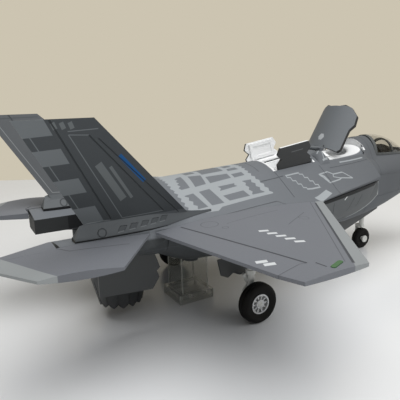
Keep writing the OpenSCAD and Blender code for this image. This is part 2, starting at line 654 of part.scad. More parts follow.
// Cockpit
tub = [canopy_front + 4.2, canopy_rear - 1.4];
tub_half_w = canopy_half_w - 2.6;
tub_z = [wz + 3, wz + 9.2];
tub_wall = 0.8;
seat_s = [canopy_rear - 10, canopy_rear - 4];
module cockpit_tub() color("#2b2e31") difference() {
    box(tub, [-tub_half_w, tub_half_w], tub_z);
    box([tub[0] + tub_wall, tub[1] - tub_wall], [-tub_half_w + tub_wall, tub_half_w - tub_wall],
        [tub_z[0] + tub_wall, tub_z[1] + cut]);
}
module pilot_seat() color("#3a3d40") {
    floor_z = tub_z[0] + tub_wall + fit;
    union() {
        box(seat_s, [-2.2, 2.2], [floor_z, floor_z + 2]);
        translate([at(seat_s[1] - 0.9), 0, floor_z + 1]) rotate([0, -14, 0]) translate([-0.8, -2.2, 0])
            cube([1.6, 4.4, 7.6]);
        translate([at(seat_s[1] + 0.6), 0, floor_z + 7.6]) rotate([0, -14, 0]) translate([-0.9, -1.6,
            0]) cube([2, 3.2, 2.6]);
        for (y = [-2.6, 2.2]) box([seat_s[0] + 0.6, seat_s[1]], [y, y + 0.4], [floor_z, floor_z + 3]);
    }
}
module instrument_panel() color("#1f2123") {
    w = tub_half_w - tub_wall - fit;
    s = [tub[0] + tub_wall + fit, tub[0] + tub_wall + 4];
    translate([0, w, 0]) rotate([90, 0, 0]) linear_extrude(2 * w) polygon([
        [at(s[0]), tub_z[0] + tub_wall + fit], [at(s[1]), tub_z[0] + tub_wall + fit],
        [at(s[1]), tub_z[1] - 1.6], [at(s[1] + 1), tub_z[1] - 0.4], [at(s[0]), tub_z[1] + 0.4]]);
}

// Canopy: a glass dome with a frame along its sill, tail arch and inner bow
canopy_steps = 14;
frame_h = 1;
canopy_gap = 0.2;
bow_s = [canopy_mid - 7.6, canopy_mid - 6.4];
function canopy_w(s) = smooth_line(s, [[canopy_front, 3.6], [canopy_front + 7.5, canopy_half_w - 0.4],
    [canopy_mid, canopy_half_w], [canopy_rear, canopy_half_w - 0.2]]);
function canopy_base(s) = upper_z(s, canopy_w(s)) + canopy_gap;
function canopy_top(s) = wz + smooth_line(s, [[canopy_front, canopy_rise - 8.9], [canopy_front + 4.5,
    canopy_rise - 5.7],
    [canopy_mid - 8, canopy_rise - 1.9], [canopy_mid, canopy_rise], [canopy_rear, canopy_rise]]);
function canopy_ring(s, inset, lift) =
    arch(s, canopy_w(s) - inset, canopy_base(s) + lift, canopy_top(s) - inset, 0.6, canopy_steps);
module canopy_part(span, outset, inset, lift, rows) {
    stations = spread(span, [rows]);
    skin_pair([for (s = stations) canopy_ring(s, outset, lift)], [for (s = stations) canopy_ring(s,
        inset, lift)]);
}
frame_end = canopy_rear - 1.8;
canopy_hinge_s = canopy_front + 0.8;
canopy_hinge_z = upper_z(canopy_hinge_s, 0) + canopy_gap + hinge_barrel_d / 2;
canopy_barrel_y = 0.9;
canopy_lug_y = [canopy_barrel_y + run_gap, canopy_barrel_y + run_gap + 0.9];
sill_s = [canopy_hinge_s + 1.2, canopy_hinge_s + 2.2];
sill_w = 1.2;
module canopy_glass() color("#5a5340", 0.5)
    canopy_part([sill_s[1] + fit, frame_end - fit], 0, glass_t, frame_h + fit, 8);
module canopy_frame() {
    stations = spread([sill_s[0], canopy_rear], [8]);
    function sill_row(s, lift) = [for (i = [0:8]) let (y = canopy_w(s) * (1 - i / 4))
        [at(s), y, upper_z(s, y) + canopy_gap + lift]];
    color("#4d5257") difference() {
        union() {
            both_sides() skin_pair(
                [for (s = stations) [for (o = [0, sill_w]) [at(s), canopy_w(s) - o, canopy_base(s)
                    + frame_h]]],
                [for (s = stations) [for (o = [0, sill_w]) [at(s), canopy_w(s) - o, canopy_base(s)
                    + upper_z(s, canopy_w(s) - o) - upper_z(s, canopy_w(s))]]]);
            skin_pair([for (s = sill_s) sill_row(s, frame_h)], [for (s = sill_s) sill_row(s, 0)]);
            canopy_part([frame_end, canopy_rear], 0, sill_w, frame_h - 0.2, 2);
            canopy_part(bow_s, glass_t + fit, glass_t + 0.8, frame_h - 0.2, 1);
            along_y(canopy_hinge_s, [-canopy_barrel_y, canopy_barrel_y], canopy_hinge_z, hinge_barrel_d);
            box([canopy_hinge_s, sill_s[0] + 0.4], [-canopy_barrel_y, canopy_barrel_y],
                [upper_z(sill_s[0] + 0.4, 0) + canopy_gap, canopy_hinge_z + 0.6]);
        }
        along_y(canopy_hinge_s, [-2 * canopy_barrel_y, 2 * canopy_barrel_y], canopy_hinge_z,
            hinge_pin_d + 2 * fit);
    }
}
module canopy_hinge_pin() color("silver")
    along_y(canopy_hinge_s, [-canopy_lug_y[1], canopy_lug_y[1]], canopy_hinge_z, hinge_pin_d);

// Lift fan: tray with a flared mouth, duct with a spider, rotor, door
fan_duct_wall = 0.8;
fan_tray_z = wz + 6.4;
fan_crown_r = 14;
fan_crown_z = top_z(fan_hinge) - fan_crown_r;
fan_crown_tilt = 4.5;
rotor_z = wz + 1;
rotor_h = 3.2;
shaft_d = 2;
module crown_bar(s, r) translate([at(fan_hinge), 0, fan_crown_z]) rotate([0, -fan_crown_tilt, 0])
    translate([-at(fan_hinge), 0, 0]) along_x(s, 0, 0, 2 * r);
module fan_tray() color("white") {
    top = fan_crown_r - door_t - run_gap;
    difference() {
        intersection() {
            fan_hole(seat_gap, fan_hinge - 1.5, [fan_tray_z, wz + 20]);
            crown_bar([fan_open[0] - 3, fan_open[1]], top);
        }
        translate([at(fan_station), 0, 0]) rotate_extrude() polygon(concat(
            [[0, fan_tray_z - cut], [fan_bore_d / 2, fan_tray_z - cut]],
            [for (a = [0:10:70]) [fan_bore_d / 2 + 2.6 * (1 - cos(a)), fan_tray_z + 0.4 + 7.4 * sin(a)]],
            [[fan_bore_d / 2 + 1.8, wz + 30], [0, wz + 30]]));
    }
}
module fan_duct() color("#d8dadc") {
    low = keel_z(fan_station) + 0.4;
    difference() {
        union() {
            difference() {
                along_z(fan_station, 0, [low, fan_tray_z - fit], fan_bore_d + 2 * fan_duct_wall);
                along_z(fan_station, 0, [low - cut, fan_tray_z + cut], fan_bore_d);
            }
            translate([at(fan_station), 0, 0]) for (a = [0:60:300]) rotate([0, 0, a])
                translate([1, -0.5, rotor_z - 4.4]) cube([fan_bore_d / 2 - 0.8, 1, 3.6]);
            along_z(fan_station, 0, [rotor_z - 5, rotor_z - run_gap], 5);
            intersection() {
                along_z(fan_station, 0, [low, wz], fan_bore_d + fan_duct_wall);
                for (e = [-4.5, -1.5, 1.5, 4.5]) box([fan_station + e - 0.4, fan_station + e + 0.4],
                    [-fan_bore_d, fan_bore_d], [low + 0.6, low + 3]);
            }
        }
        along_z(fan_station, 0, [low - cut, wz + 10], shaft_d + 2 * fit);
    }
}
module fan_rotor() color("#8c9196") translate([at(fan_station), 0, 0]) union() {
    translate([0, 0, rotor_z]) cylinder(d = 5.6, h = rotor_h);
    translate([0, 0, rotor_z + rotor_h]) cylinder(d1 = 5.6, d2 = 1.6, h = 2);
    translate([0, 0, rotor_z - 4.6]) cylinder(d = shaft_d, h = 5);
    for (i = [0:fan_blades - 1]) rotate([0, 0, 360 * i / fan_blades])
        translate([2.2, 0, rotor_z + rotor_h / 2]) rotate([38, 0, 0])
            translate([0, -1.6, -0.2]) cube([fan_bore_d / 2 - 2.2 - run_gap, 3.2, 0.4]);
}
module fan_door_place() translate([at(fan_hinge), 0, fan_hinge_z]) rotate([0, -fan_door_open, 0])
    translate([-at(fan_hinge), 0, -fan_hinge_z]) children();
module fan_door() color("#6a7077") fan_door_place() difference() {
    front = fan_hinge - fan_door_len;
    w = fan_door_half_w;
    edge = [[at(fan_hinge - 1.5), w - 1.4], [at(fan_hinge - 3), w - 0.7], [at(fan_hinge - 9), w - 0.8],
        [at(fan_hinge - 12), w - 0.8], [at(front + 7), w], [at(front + 3), w - 0.4],
        [at(front + 0.6), w - 2.8], [at(front), w - 5.6], [at(front + 0.9), w - 8]];
    union() {
        intersection() {
            difference() {
                crown_bar([front - 3, fan_hinge], fan_crown_r);
                crown_bar([front - 4, fan_hinge + cut], fan_crown_r - door_t);
            }
            translate([0, 0, wz + 6]) linear_extrude(20) polygon([
                for (side = [1, -1]) for (i = [0:8]) let (q = edge[side > 0 ? i : 8 - i]) [q[0],
                    side * q[1]]]);
        }
        along_y(fan_hinge, [-fan_lug_y[0] + run_gap, fan_lug_y[0] - run_gap], fan_hinge_z, hinge_barrel_d);
        box([fan_hinge - 2.4, fan_hinge - 0.3], [-fan_lug_y[0] + run_gap, fan_lug_y[0] - run_gap],
            [fan_hinge_z - 1.3, fan_hinge_z - 0.4]);
    }
    along_y(fan_hinge, [-fan_lug_y[0] - cut, fan_lug_y[0] + cut], fan_hinge_z, hinge_pin_d + 2 * fit);
}
module fan_door_pin() color("silver") along_y(fan_hinge, [-fan_lug_y[1], fan_lug_y[1]], fan_hinge_z,
    hinge_pin_d);

// Auxiliary inlet: white tray between two upright doors
aux_hinge_z = upper_z(aux_mid, aux_hinge_y) - 0.5;
aux_slope = atan((top_z(aux_mid) - aux_hinge_z - 1) / aux_hinge_y);
aux_door_w = (aux_hinge_y - run_gap) / cos(aux_slope) - 0.4;
aux_tray_low = wz + 4;
lug_t = 0.8;
aux_door_tooth = 1.9;
module aux_lean() translate([at(aux_mid), 0, aux_hinge_z]) rotate([0, -aux_pitch, 0])
    translate([-at(aux_mid), 0, -aux_hinge_z]) children();
module aux_tray() color("white") aux_lean() {
    s = [aux_open[0] + seat_gap, aux_open[1] - seat_gap];
    w = aux_hinge_y - hinge_barrel_d / 2 - run_gap;
    barrel = hinge_barrel_d / 2;
    difference() {
        union() {
            difference() {
                box(s, [-w, w], [aux_tray_low, aux_hinge_z - 0.9]);
                box([s[0] + lug_t, s[1] - lug_t], [-w + 0.8, w - 0.8], [aux_tray_low + 0.8, wz + 20]);
            }
            for (e = [s[0], s[1] - lug_t]) both_sides() box([e, e + lug_t], [w - 0.4, aux_hinge_y + barrel],
                [aux_hinge_z - 3, aux_hinge_z + barrel]);
        }
        both_sides() along_x([s[0] - cut, s[1] + cut], aux_hinge_y, aux_hinge_z, hinge_pin_d + 2 * fit);
    }
}
aux_door_s = [aux_open[0] + seat_gap + lug_t + run_gap, aux_open[1] - seat_gap - lug_t - run_gap];
module aux_place() aux_lean() translate([0, aux_hinge_y, aux_hinge_z]) rotate([-aux_tilt, 0, 0])
    children();
module aux_door() color("#3d4145") aux_place() difference() {
    front = at(aux_door_s[0]);
    rear = at(aux_door_s[1]);
    w = aux_door_w;
    tooth = aux_door_tooth;
    union() {
        translate([rear, 0, 0]) rotate([0, 90, 0]) cylinder(d = hinge_barrel_d, h = front - rear);
        translate([0, hinge_barrel_d / 2, 0]) rotate([90, 0, 0]) linear_extrude(door_t) polygon([
            [rear + 0.5, 0], [front - 0.5, 0], [front, w * 0.26], [front - tooth, w * 0.46], [front, w * 0.7],
            [front - tooth * 0.7, w], [rear + tooth * 0.7, w], [rear, w * 0.7], [rear + tooth, w * 0.46],
            [rear, w * 0.26]]);
    }
    translate([rear - cut, 0, 0]) rotate([0, 90, 0]) cylinder(d = hinge_pin_d + 2 * fit,
        h = front - rear + 2 * cut);
}
module aux_liner() color("white") aux_place() {
    front = at(aux_door_s[0]) - aux_door_tooth - 0.4;
    rear = at(aux_door_s[1]) + aux_door_tooth + 0.4;
    low = hinge_barrel_d / 2 + 0.4;
    face = hinge_barrel_d / 2 - door_t - fit;
    difference() {
        translate([rear, face - 0.7, low]) cube([front - rear, 0.7, aux_door_w - low - 0.6]);
        translate([rear + 1.4, face - 1.7, low + 1.4]) cube([front - rear - 2.8, 1.3,
            aux_door_w - low - 3.4]);
    }
}
module left_aux_door() aux_door();
module right_aux_door() mirror([0, 1, 0]) aux_door();
module left_aux_liner() aux_liner();
module right_aux_liner() mirror([0, 1, 0]) aux_liner();
module aux_hinge_pins() color("silver") both_sides() aux_lean()
    along_x([aux_open[0] + seat_gap, aux_open[1] - seat_gap], aux_hinge_y, aux_hinge_z, hinge_pin_d);

// Swivelling nozzle: three ducts that meet on slanted bearing planes
bend = 22.5;
duct_r = duct_d / 2;
bore_r = duct_r - duct_wall;
spigot_d = 2 * bore_r - 1;
mid_x = at(bearing_station) - duct_front_len;
end_x = mid_x - duct_mid_len * cos(2 * bend);
end_z = engine_z - duct_mid_len * sin(2 * bend);
flange_drop = duct_r * tan(bend) + 0.6;
big = 60;
bearing_d = duct_d + 1.8;
bearing_back = 3;
bearing_len = 4;
module engine_bearing() color("#55595d") {
    s = [bearing_station - bearing_back - bearing_len, bearing_station - bearing_back];
    difference() {
        union() {
            along_x(s, 0, engine_z, bearing_d);
            along_x([s[1] - cut, bearing_station - duct_gap], 0, engine_z, duct_d);
            box([s[0] + 0.4, s[1] - 0.4], [-body_half_w + shell_wall + 0.5,
                body_half_w - shell_wall - 0.5], [wz - 2.6, wz - 0.2]);
        }
        along_x([s[0] + cut, bearing_station + cut], 0, engine_z, spigot_d + 2 * run_gap);
    }
}
// Keeps what lies above (side 1) or below (side -1) a plane through a point on the duct axis
module half_space(x, z, tilt, side) translate([x, 0, z]) rotate([0, -tilt, 0])
    translate([side > 0 ? duct_gap / 2 : -big - duct_gap / 2, -big / 2, -big / 2]) cube(big);
module nozzle_front_duct() color("#33373b") difference() {
    union() {
        intersection() {
            along_x([bearing_station, bearing_station + 2 * duct_front_len + 4], 0, engine_z, duct_d);
            half_space(mid_x, engine_z, bend, 1);
        }
        along_x([bearing_station - 5, bearing_station + 1], 0, engine_z, spigot_d);
    }
    along_x([bearing_station - 6, bearing_station + 30], 0, engine_z, spigot_d - 2);
}
module mid_axis() translate([mid_x, 0, engine_z]) rotate([0, -90 - 2 * bend, 0]) children();
module nozzle_mid_duct() color("#33373b") difference() {
    intersection() {
        mid_axis() translate([0, 0, -big / 2]) cylinder(d = duct_d, h = big + duct_mid_len);
        half_space(mid_x, engine_z, bend, -1);
        half_space(end_x, end_z, 3 * bend, 1);
    }
    mid_axis() translate([0, 0, -big]) cylinder(d = 2 * bore_r, h = 2 * big + duct_mid_len);
}
module nozzle_rear_duct() color("#2a2d30") translate([end_x, 0, end_z]) {
    top = -flange_drop;
    low = -duct_rear_len;
    taper = (flange_d - exit_d) / 2 / (top - 1.6 - low);
    notch = 2.3;
    rim = top - 1.6;
    difference() {
        union() {
            intersection() {
                translate([0, 0, top - 0.8]) cylinder(d = duct_d, h = 3 * flange_drop);
                half_space(0, 0, 3 * bend, -1);
            }
            rotate_extrude() polygon([[0, low], [exit_d / 2, low], [flange_d / 2, rim], [flange_d / 2,
                top], [0, top]]);
        }
        rotate_extrude() polygon([[0, low - cut], [exit_d / 2 - duct_wall, low - cut], [bore_r, rim],
            [bore_r, big], [0, big]]);
        for (i = [0:petals - 1]) rotate([0, 0, 360 * (i + 0.5) / petals]) {
            translate([exit_d / 2, 0, low - notch / 9]) rotate([0, 90, 0]) rotate([0, 0, 45])
                cube([notch, notch, 6], center = true);
            translate([exit_d / 2 - 0.4, -0.2, low - cut]) rotate([0, atan(taper), 0]) cube([2, 0.4, 11]);
        }
    }
}
// Nozzle bay doors, hung open below the booms
bay_door_y = [bay_half_w, bay_half_w + 0.9];
bay_door_low = wz - 22;
bay_door_lap = 2;
bay_door_len = 21;
// Stepped front edge: distances back from the front end and up from the lower edge
bay_door_steps = [[3.6, 0], [1, 3.6], [1.8, 6], [0.6, 7]];
module bay_door() color("#4a4e53") {
    s = [shell_end - bay_door_lap, shell_end - bay_door_lap + bay_door_len];
    tops = spread([s[0] + 2.2, s[1]], [6]);
    translate([0, bay_door_y[1], 0]) rotate([90, 0, 0]) linear_extrude(bay_door_y[1] - bay_door_y[0])
        polygon([
        for (e = tops) [at(e), boom_low(e, bay_half_w) - seat_gap],
        [at(s[1]), bay_door_low + 1.4],
        for (p = bay_door_steps) [at(s[0] + p[0]), bay_door_low + p[1]]]);
}
module left_nozzle_door() bay_door();
module right_nozzle_door() mirror([0, 1, 0]) bay_door();

// Landing gear
main_axle_z = main_wheel_d / 2;
wheel_in_y = leg_y + leg_d / 2 + run_gap;
wheel_out_y = wheel_in_y + main_wheel_w;
leg_top_z = wz - wing_t(leg_y, (main_station - wing_root_le) / wing_root_chord) - seat_gap;
module main_leg() color("#e4e5e2") union() {
    along_z(main_station, leg_y, [main_axle_z + 3, leg_top_z], leg_d);
    along_z(main_station, leg_y, [leg_top_z - 3, wz + 0.4], leg_peg_d);
    along_z(main_station, leg_y, [main_axle_z - 1.2, main_axle_z + 8], leg_d - 0.7);
    along_z(main_station, leg_y, [main_axle_z + 9, main_axle_z + 10.4], leg_d + 0.8);
    along_y(main_station, [leg_y - leg_d / 2, wheel_out_y - 0.5], main_axle_z, axle_d);
    translate([at(main_station) - 0.8, leg_y - 0.5, main_axle_z + 4.6]) rotate([0, 45, 0]) cube([1, 1,
        5], center = true);
    translate([at(main_station) - 1.7, leg_y - 0.5, main_axle_z + 7.2]) rotate([0, -28, 0]) cube([0.9,
        1, 4.4], center = true);
}
module left_main_leg() main_leg();
module right_main_leg() mirror([0, 1, 0]) main_leg();
// Wheel parts lie about the Y axis, from 0 to the wheel's width
module tyre(d, w, hub_d) rotate([-90, 0, 0]) rotate_extrude() difference() {
    polygon(concat([[hub_d / 2 + fit, w * 0.12]],
        [for (a = [0:15:90]) [d / 2 - w * 0.32 * (1 - sin(a)), w * 0.32 * (1 - cos(a))]],
        [for (a = [90:-15:0]) [d / 2 - w * 0.32 * (1 - sin(a)), w - w * 0.32 * (1 - cos(a))]],
        [[hub_d / 2 + fit, w * 0.88]]));
    for (e = [0.34, 0.66]) translate([d / 2 - 0.35, w * e - 0.12]) square([1, 0.24]);
}
module hub(d, w, spokes) rotate([-90, 0, 0]) difference() {
    union() {
        difference() {
            translate([0, 0, w * 0.1]) cylinder(d = d, h = w * 0.8);
            translate([0, 0, w * 0.6]) cylinder(d = d - 1, h = w);
            translate([0, 0, -cut]) cylinder(d = d - 1, h = cut + w * 0.3);
        }
        translate([0, 0, w * 0.3]) cylinder(d = axle_d + 1.4, h = w * 0.58);
        for (i = [0:spokes - 1]) rotate([0, 0, 360 * i / spokes]) translate([0.9, -0.22, w * 0.58])
            cube([d / 2 - 1.2, 0.44, w * 0.22]);
    }
    translate([0, 0, -cut]) cylinder(d = axle_d + 2 * fit, h = w + 2 * cut);
}
module main_wheel_place() translate([at(main_station), wheel_in_y, main_axle_z]) children();
module left_main_tyre() color("#1c1c1c") main_wheel_place() tyre(main_wheel_d, main_wheel_w, main_hub_d);
module right_main_tyre() mirror([0, 1, 0]) left_main_tyre();
module left_main_hub() color("#c9cbcd") main_wheel_place() hub(main_hub_d, main_wheel_w, 10);
module right_main_hub() mirror([0, 1, 0]) left_main_hub();

nose_axle_z = nose_wheel_d / 2;
fork_y = nose_wheel_w / 2 + run_gap;
fork_t = 0.8;
axle_cap_t = 0.6;
axle_cap_d = axle_d + 1.6;
fork_top = nose_wheel_d + 0.6;
module nose_leg() color("#e4e5e2") union() {
    along_z(nose_wheel_station, 0, [fork_top, trunnion_z], 2.2);
    along_y(nose_wheel_station, [-nose_bay_half_w - bay_rib_t, nose_bay_half_w + bay_rib_t], trunnion_z,
        trunnion_d);
    box([nose_wheel_station - 1, nose_wheel_station + 1], [-1, fork_y + fork_t], [fork_top, fork_top + 1.2]);
    box([nose_wheel_station - 0.9, nose_wheel_station + 0.9], [fork_y, fork_y + fork_t], [nose_axle_z - 1.2,
        fork_top + 0.5]);
    along_y(nose_wheel_station, [-fork_y - axle_cap_t, fork_y + fork_t], nose_axle_z, axle_d);
    along_y(nose_wheel_station, [-fork_y - axle_cap_t, -fork_y], nose_axle_z, axle_cap_d);
}
module nose_wheel_place() translate([at(nose_wheel_station), -nose_wheel_w / 2, nose_axle_z]) children();
module nose_tyre() color("#1c1c1c") nose_wheel_place() tyre(nose_wheel_d, nose_wheel_w, nose_hub_d);
module nose_hub() color("#c9cbcd") nose_wheel_place() hub(nose_hub_d, nose_wheel_w, 6);

gear_door_t = 0.8;
module gear_door() color("#d9dbda") {
    lean = 24;
    rise = 3.4;
    y = main_bay_y + seat_gap + rise * sin(lean) + gear_door_t * cos(lean);
    s = [main_bay[0] + 0.8, main_bay[1] - 0.8];
    translate([0, y, main_bay_z[0] + 1.4]) rotate([lean, 0, 0]) rotate([90, 0, 0])
        linear_extrude(gear_door_t) polygon([
        [at(s[0] + 2), 0], [at(s[0] + 2), rise], [at(s[0] + 5), rise], [at(s[0] + 5), 0],
        [at(s[1] - 5), 0], [at(s[1] - 5), rise], [at(s[1] - 2), rise], [at(s[1] - 2), 0],
        [at(s[1]), 0], [at(s[1]), -5.4], [at(s[1] - 2.4), -6.6], [at(s[1] - 4.8), -5.4],
        [at(s[1] - 7.2), -6.6], [at(s[0] + 2), -6.6], [at(s[0]), -5], [at(s[0]), 0]]);
}
module left_gear_door() gear_door();
module right_gear_door() mirror([0, 1, 0]) gear_door();
// Nose gear doors hang deeper towards the rear, and step down under the fan duct
nose_door_tail = 8;
nose_door_s = [nose_bay[0] + 0.8, nose_bay[1] + nose_door_tail];
nose_door_step_s = nose_bay[1] + 2.4;
nose_door_step = 0.7;
nose_door_y = nose_bay_half_w + 0.2;
nose_door_drop = [1.6, 7.1];
nose_door_bevel = 0.5;
function nose_door_top(s) = front_keel_z(s, nose_door_y) - seat_gap;
module nose_gear_doors() color("#6a7077") both_sides() translate([0, nose_door_y + gear_door_t, 0])
    rotate([90, 0, 0]) linear_extrude(gear_door_t) polygon([
        for (s = spread([nose_door_s[0], nose_door_step_s], [6])) [at(s), nose_door_top(s)],
        for (s = [nose_door_step_s, nose_door_s[1]]) [at(s), nose_door_top(s) - nose_door_step],
        [at(nose_door_s[1]), nose_door_top(nose_door_s[1]) - nose_door_drop[1] + nose_door_bevel],
        [at(nose_door_s[1] - nose_door_bevel), nose_door_top(nose_door_s[1]) - nose_door_drop[1]],
        [at(nose_door_s[0] + nose_door_bevel), nose_door_top(nose_door_s[0]) - nose_door_drop[0]]]);

module shell_screws() color("silver") screw_places() difference() {
    union() {
        translate([0, 0, belly_z + 0.2]) cylinder(d = head_d, h = 1.3);
        translate([0, 0, belly_z + 1]) cylinder(d = screw_d, h = wz + screw_reach - belly_z - 1);
    }
    for (a = [0, 90]) rotate([0, 0, a]) translate([-1.2, -0.2, belly_z - cut]) cube([2.4, 0.4, cut + 0.8]);
}

stand_top = min([for (e = [-1, 0, 1]) keel_z(stand_station + e * column_w / 2)]) - seat_gap;
module display_stand() color("#dfe6e2", 0.5) translate([at(stand_station), 0, 0]) union() {
    translate([-stand_len / 2, -stand_w / 2, 0]) cube([stand_len, stand_w, stand_t]);
    translate([-column_w / 2, -column_w / 2, stand_t - 0.1]) cube([column_w, column_w,
        stand_top - stand_t + 0.1]);
    cylinder(d = column_peg_d, h = belly_z + 1.8);
}

upper_shell();
lower_shell_front();
lower_shell_rear();
nose_cone();
tail_deck();
left_wing();
right_wing();
left_intake();
right_intake();
left_boom();
right_boom();
left_fin();
right_fin();
left_tailplane();
right_tailplane();
cockpit_tub();
pilot_seat();
instrument_panel();
canopy_glass();
canopy_frame();
canopy_hinge_pin();
fan_tray();
fan_duct();
fan_rotor();
fan_door();
fan_door_pin();
aux_tray();
left_aux_door();
right_aux_door();
left_aux_liner();
right_aux_liner();
aux_hinge_pins();
engine_bearing();
nozzle_front_duct();
nozzle_mid_duct();
nozzle_rear_duct();
left_nozzle_door();
right_nozzle_door();
left_main_leg();
right_main_leg();
left_main_tyre();
right_main_tyre();
left_main_hub();
right_main_hub();
nose_leg();
nose_tyre();
nose_hub();
left_gear_door();
right_gear_door();
nose_gear_doors();
left_nav_light();
right_nav_light();
shell_screws();
display_stand();
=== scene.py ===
"""Looks of a grey toy jet with open doors, standing on its wheels and a clear stand.

Paint is worked out in millimetres: station s runs aft from the nose tip, y to the left wing, z up.
"""
import json
import math

import bpy
import numpy as np
from mathutils import Matrix, Vector


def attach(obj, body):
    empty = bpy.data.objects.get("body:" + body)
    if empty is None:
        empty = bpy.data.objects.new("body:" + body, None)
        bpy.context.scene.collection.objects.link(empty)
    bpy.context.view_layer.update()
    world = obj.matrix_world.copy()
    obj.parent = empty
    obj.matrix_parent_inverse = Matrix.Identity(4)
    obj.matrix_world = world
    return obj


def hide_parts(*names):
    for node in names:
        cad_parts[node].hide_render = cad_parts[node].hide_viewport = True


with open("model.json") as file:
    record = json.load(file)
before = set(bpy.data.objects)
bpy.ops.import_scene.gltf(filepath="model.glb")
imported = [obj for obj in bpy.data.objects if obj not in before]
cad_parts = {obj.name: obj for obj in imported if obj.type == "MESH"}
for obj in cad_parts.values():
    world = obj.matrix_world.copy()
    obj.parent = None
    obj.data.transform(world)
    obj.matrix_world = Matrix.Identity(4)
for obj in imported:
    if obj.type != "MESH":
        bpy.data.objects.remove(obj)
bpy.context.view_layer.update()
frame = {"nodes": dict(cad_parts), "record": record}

MM = 0.001
NOSE_X = 108.4
FAN_S = 73.4
FAN_HINGE_S = 83.0
FAN_HINGE_Z = 51.15
# Degrees past which an edge stays sharp, on bodies, thin plates and round pieces.
BODY_EDGE, PLATE_EDGE, ROUND_EDGE = 28, 20, 40
RECORD = frame["record"]
BODY_OF = {node: body for body, nodes in RECORD["behaviour"]["bodies"].items() for node in nodes}


def tone(red, green, blue):
    """A colour given as eight-bit sRGB, as linear light."""
    parts = np.array([red, green, blue]) / 255.0
    linear = np.where(parts <= 0.04045, parts / 12.92, ((parts + 0.055) / 1.055) ** 2.4)
    return (*(float(part) for part in linear), 1.0)


def scaled(colour, factor):
    """The same colour, lighter or darker."""
    return (*(part * factor for part in colour[:3]), 1.0)


class Value:
    """A number that varies over a surface. Arithmetic on it adds Math nodes to its graph."""

    def __init__(self, graph, socket):
        self.graph, self.socket = graph, socket

    def __add__(self, other):
        return self.graph.math("ADD", self, other)

    __radd__ = __add__

    def __sub__(self, other):
        return self.graph.math("SUBTRACT", self, other)

    def __rsub__(self, other):
        return self.graph.math("SUBTRACT", other, self)

    def __mul__(self, other):
        return self.graph.math("MULTIPLY", self, other)

    __rmul__ = __mul__

    def __truediv__(self, other):
        return self.graph.math("DIVIDE", self, other)

    def __pow__(self, other):
        return self.graph.math("POWER", self, other)

    def __abs__(self):
        return self.graph.math("ABSOLUTE", self)

    def __and__(self, other):
        return self.graph.math("MINIMUM", self, other)

    def __or__(self, other):
        return self.graph.math("MAXIMUM", self, other)

    def over(self, soft=0.1):
        """A mask: 1 where the number is above 0, with an edge that is soft mm wide."""
        return self.graph.math("MULTIPLY_ADD", self, 1 / soft, 0.5, clamp=True)

    def within(self, half, soft=0.1):
        """A mask: 1 where the number is less than half away from 0."""
        return self.graph.math("MULTIPLY_ADD", abs(self), -1 / soft, half / soft + 0.5, clamp=True)

    def between(self, low, high, soft=0.1):
        """A mask: 1 from low to high."""
        return (self - (low + high) / 2).within((high - low) / 2, soft)

    def teeth(self, pitch, depth):
        """A zigzag about 0 that is depth high and repeats every pitch."""
        return self.graph.math("PINGPONG", self, pitch / 2) * (2 * depth / pitch) - depth / 2


def either(masks):
    """The mask of all the places that any of the masks covers."""
    whole = masks[0]
    for mask in masks[1:]:
        whole = whole | mask
    return whole


class Graph:
    """The shader nodes of a material or a world, emptied first."""

    def __init__(self, owner):
        owner.use_nodes = True
        self.tree = owner.node_tree
        self.tree.nodes.clear()

    def node(self, kind, settings=None, sockets=None):
        """Any node: its settings first, then the values or links of its sockets."""
        made = self.tree.nodes.new(kind)
        for key, value in (settings or {}).items():
            setattr(made, key, value)
        for key, value in (sockets or {}).items():
            if isinstance(value, Value):
                value = value.socket
            if isinstance(value, bpy.types.NodeSocket):
                self.tree.links.new(value, made.inputs[key])
            else:
                made.inputs[key].default_value = value
        return made

    def math(self, operation, *terms, clamp=False):
        """The value of one Math node."""
        settings = {"operation": operation, "use_clamp": clamp}
        return Value(self, self.node("ShaderNodeMath", settings, dict(enumerate(terms))).outputs[0])


class Paint(Graph):
    """One procedural material. spot is the place on the piece, and s, y, z its millimetres."""

    def __init__(self, name):
        self.material = bpy.data.materials.new(name)
        super().__init__(self.material)
        self.place = self.node("ShaderNodeTexCoord")
        self.spot = self.place.outputs["Object"]
        x, self.y, self.z = (part * (1 / MM) for part in self.parts(self.spot))
        self.s = NOSE_X - x
        self.side = abs(self.y)

    def parts(self, vector):
        """The three numbers of a vector."""
        cut = self.node("ShaderNodeSeparateXYZ", None, {0: vector})
        return [Value(self, cut.outputs[i]) for i in range(3)]

    def facing(self):
        """Which way the surface faces: the three parts of its outward direction."""
        return self.parts(self.place.outputs["Normal"])

    def outward(self):
        """How far the surface faces away from the middle of the toy, from -1 to 1."""
        return self.facing()[1] * self.math("SIGN", self.y)

    def inward(self):
        """A mask of the faces that look towards the middle of the toy."""
        return (self.outward() * -1 - 0.5).over(0.1)

    def blend(self, below, above, mask):
        """The colour above laid over the colour below where the mask is 1."""
        made = self.node("ShaderNodeMix", {"data_type": "RGBA"}, {0: mask, 6: below, 7: above})
        return made.outputs[2]

    def grain(self, size, detail):
        """Cloudy noise from 0 to 1 whose lumps are about size mm across."""
        sockets = {"Vector": self.spot, "Scale": 1 / (size * MM), "Detail": detail}
        return Value(self, self.node("ShaderNodeTexNoise", None, sockets).outputs[0])

    def finish(self, colour, rough, height=None, metal=0.0, extra=None):
        """Joins colour, roughness, metal and height in mm to the shader and its output.
        extra holds the values of further sockets."""
        sockets = {"Base Color": colour, "Roughness": rough, "Metallic": metal, **(extra or {})}
        if height is not None:
            bump = {"Strength": 1.0, "Distance": MM, "Height": height}
            sockets["Normal"] = self.node("ShaderNodeBump", None, bump).outputs[0]
        shader = self.node("ShaderNodeBsdfPrincipled", None, sockets)
        self.node("ShaderNodeOutputMaterial", None, {"Surface": shader.outputs[0]})
        return self.material


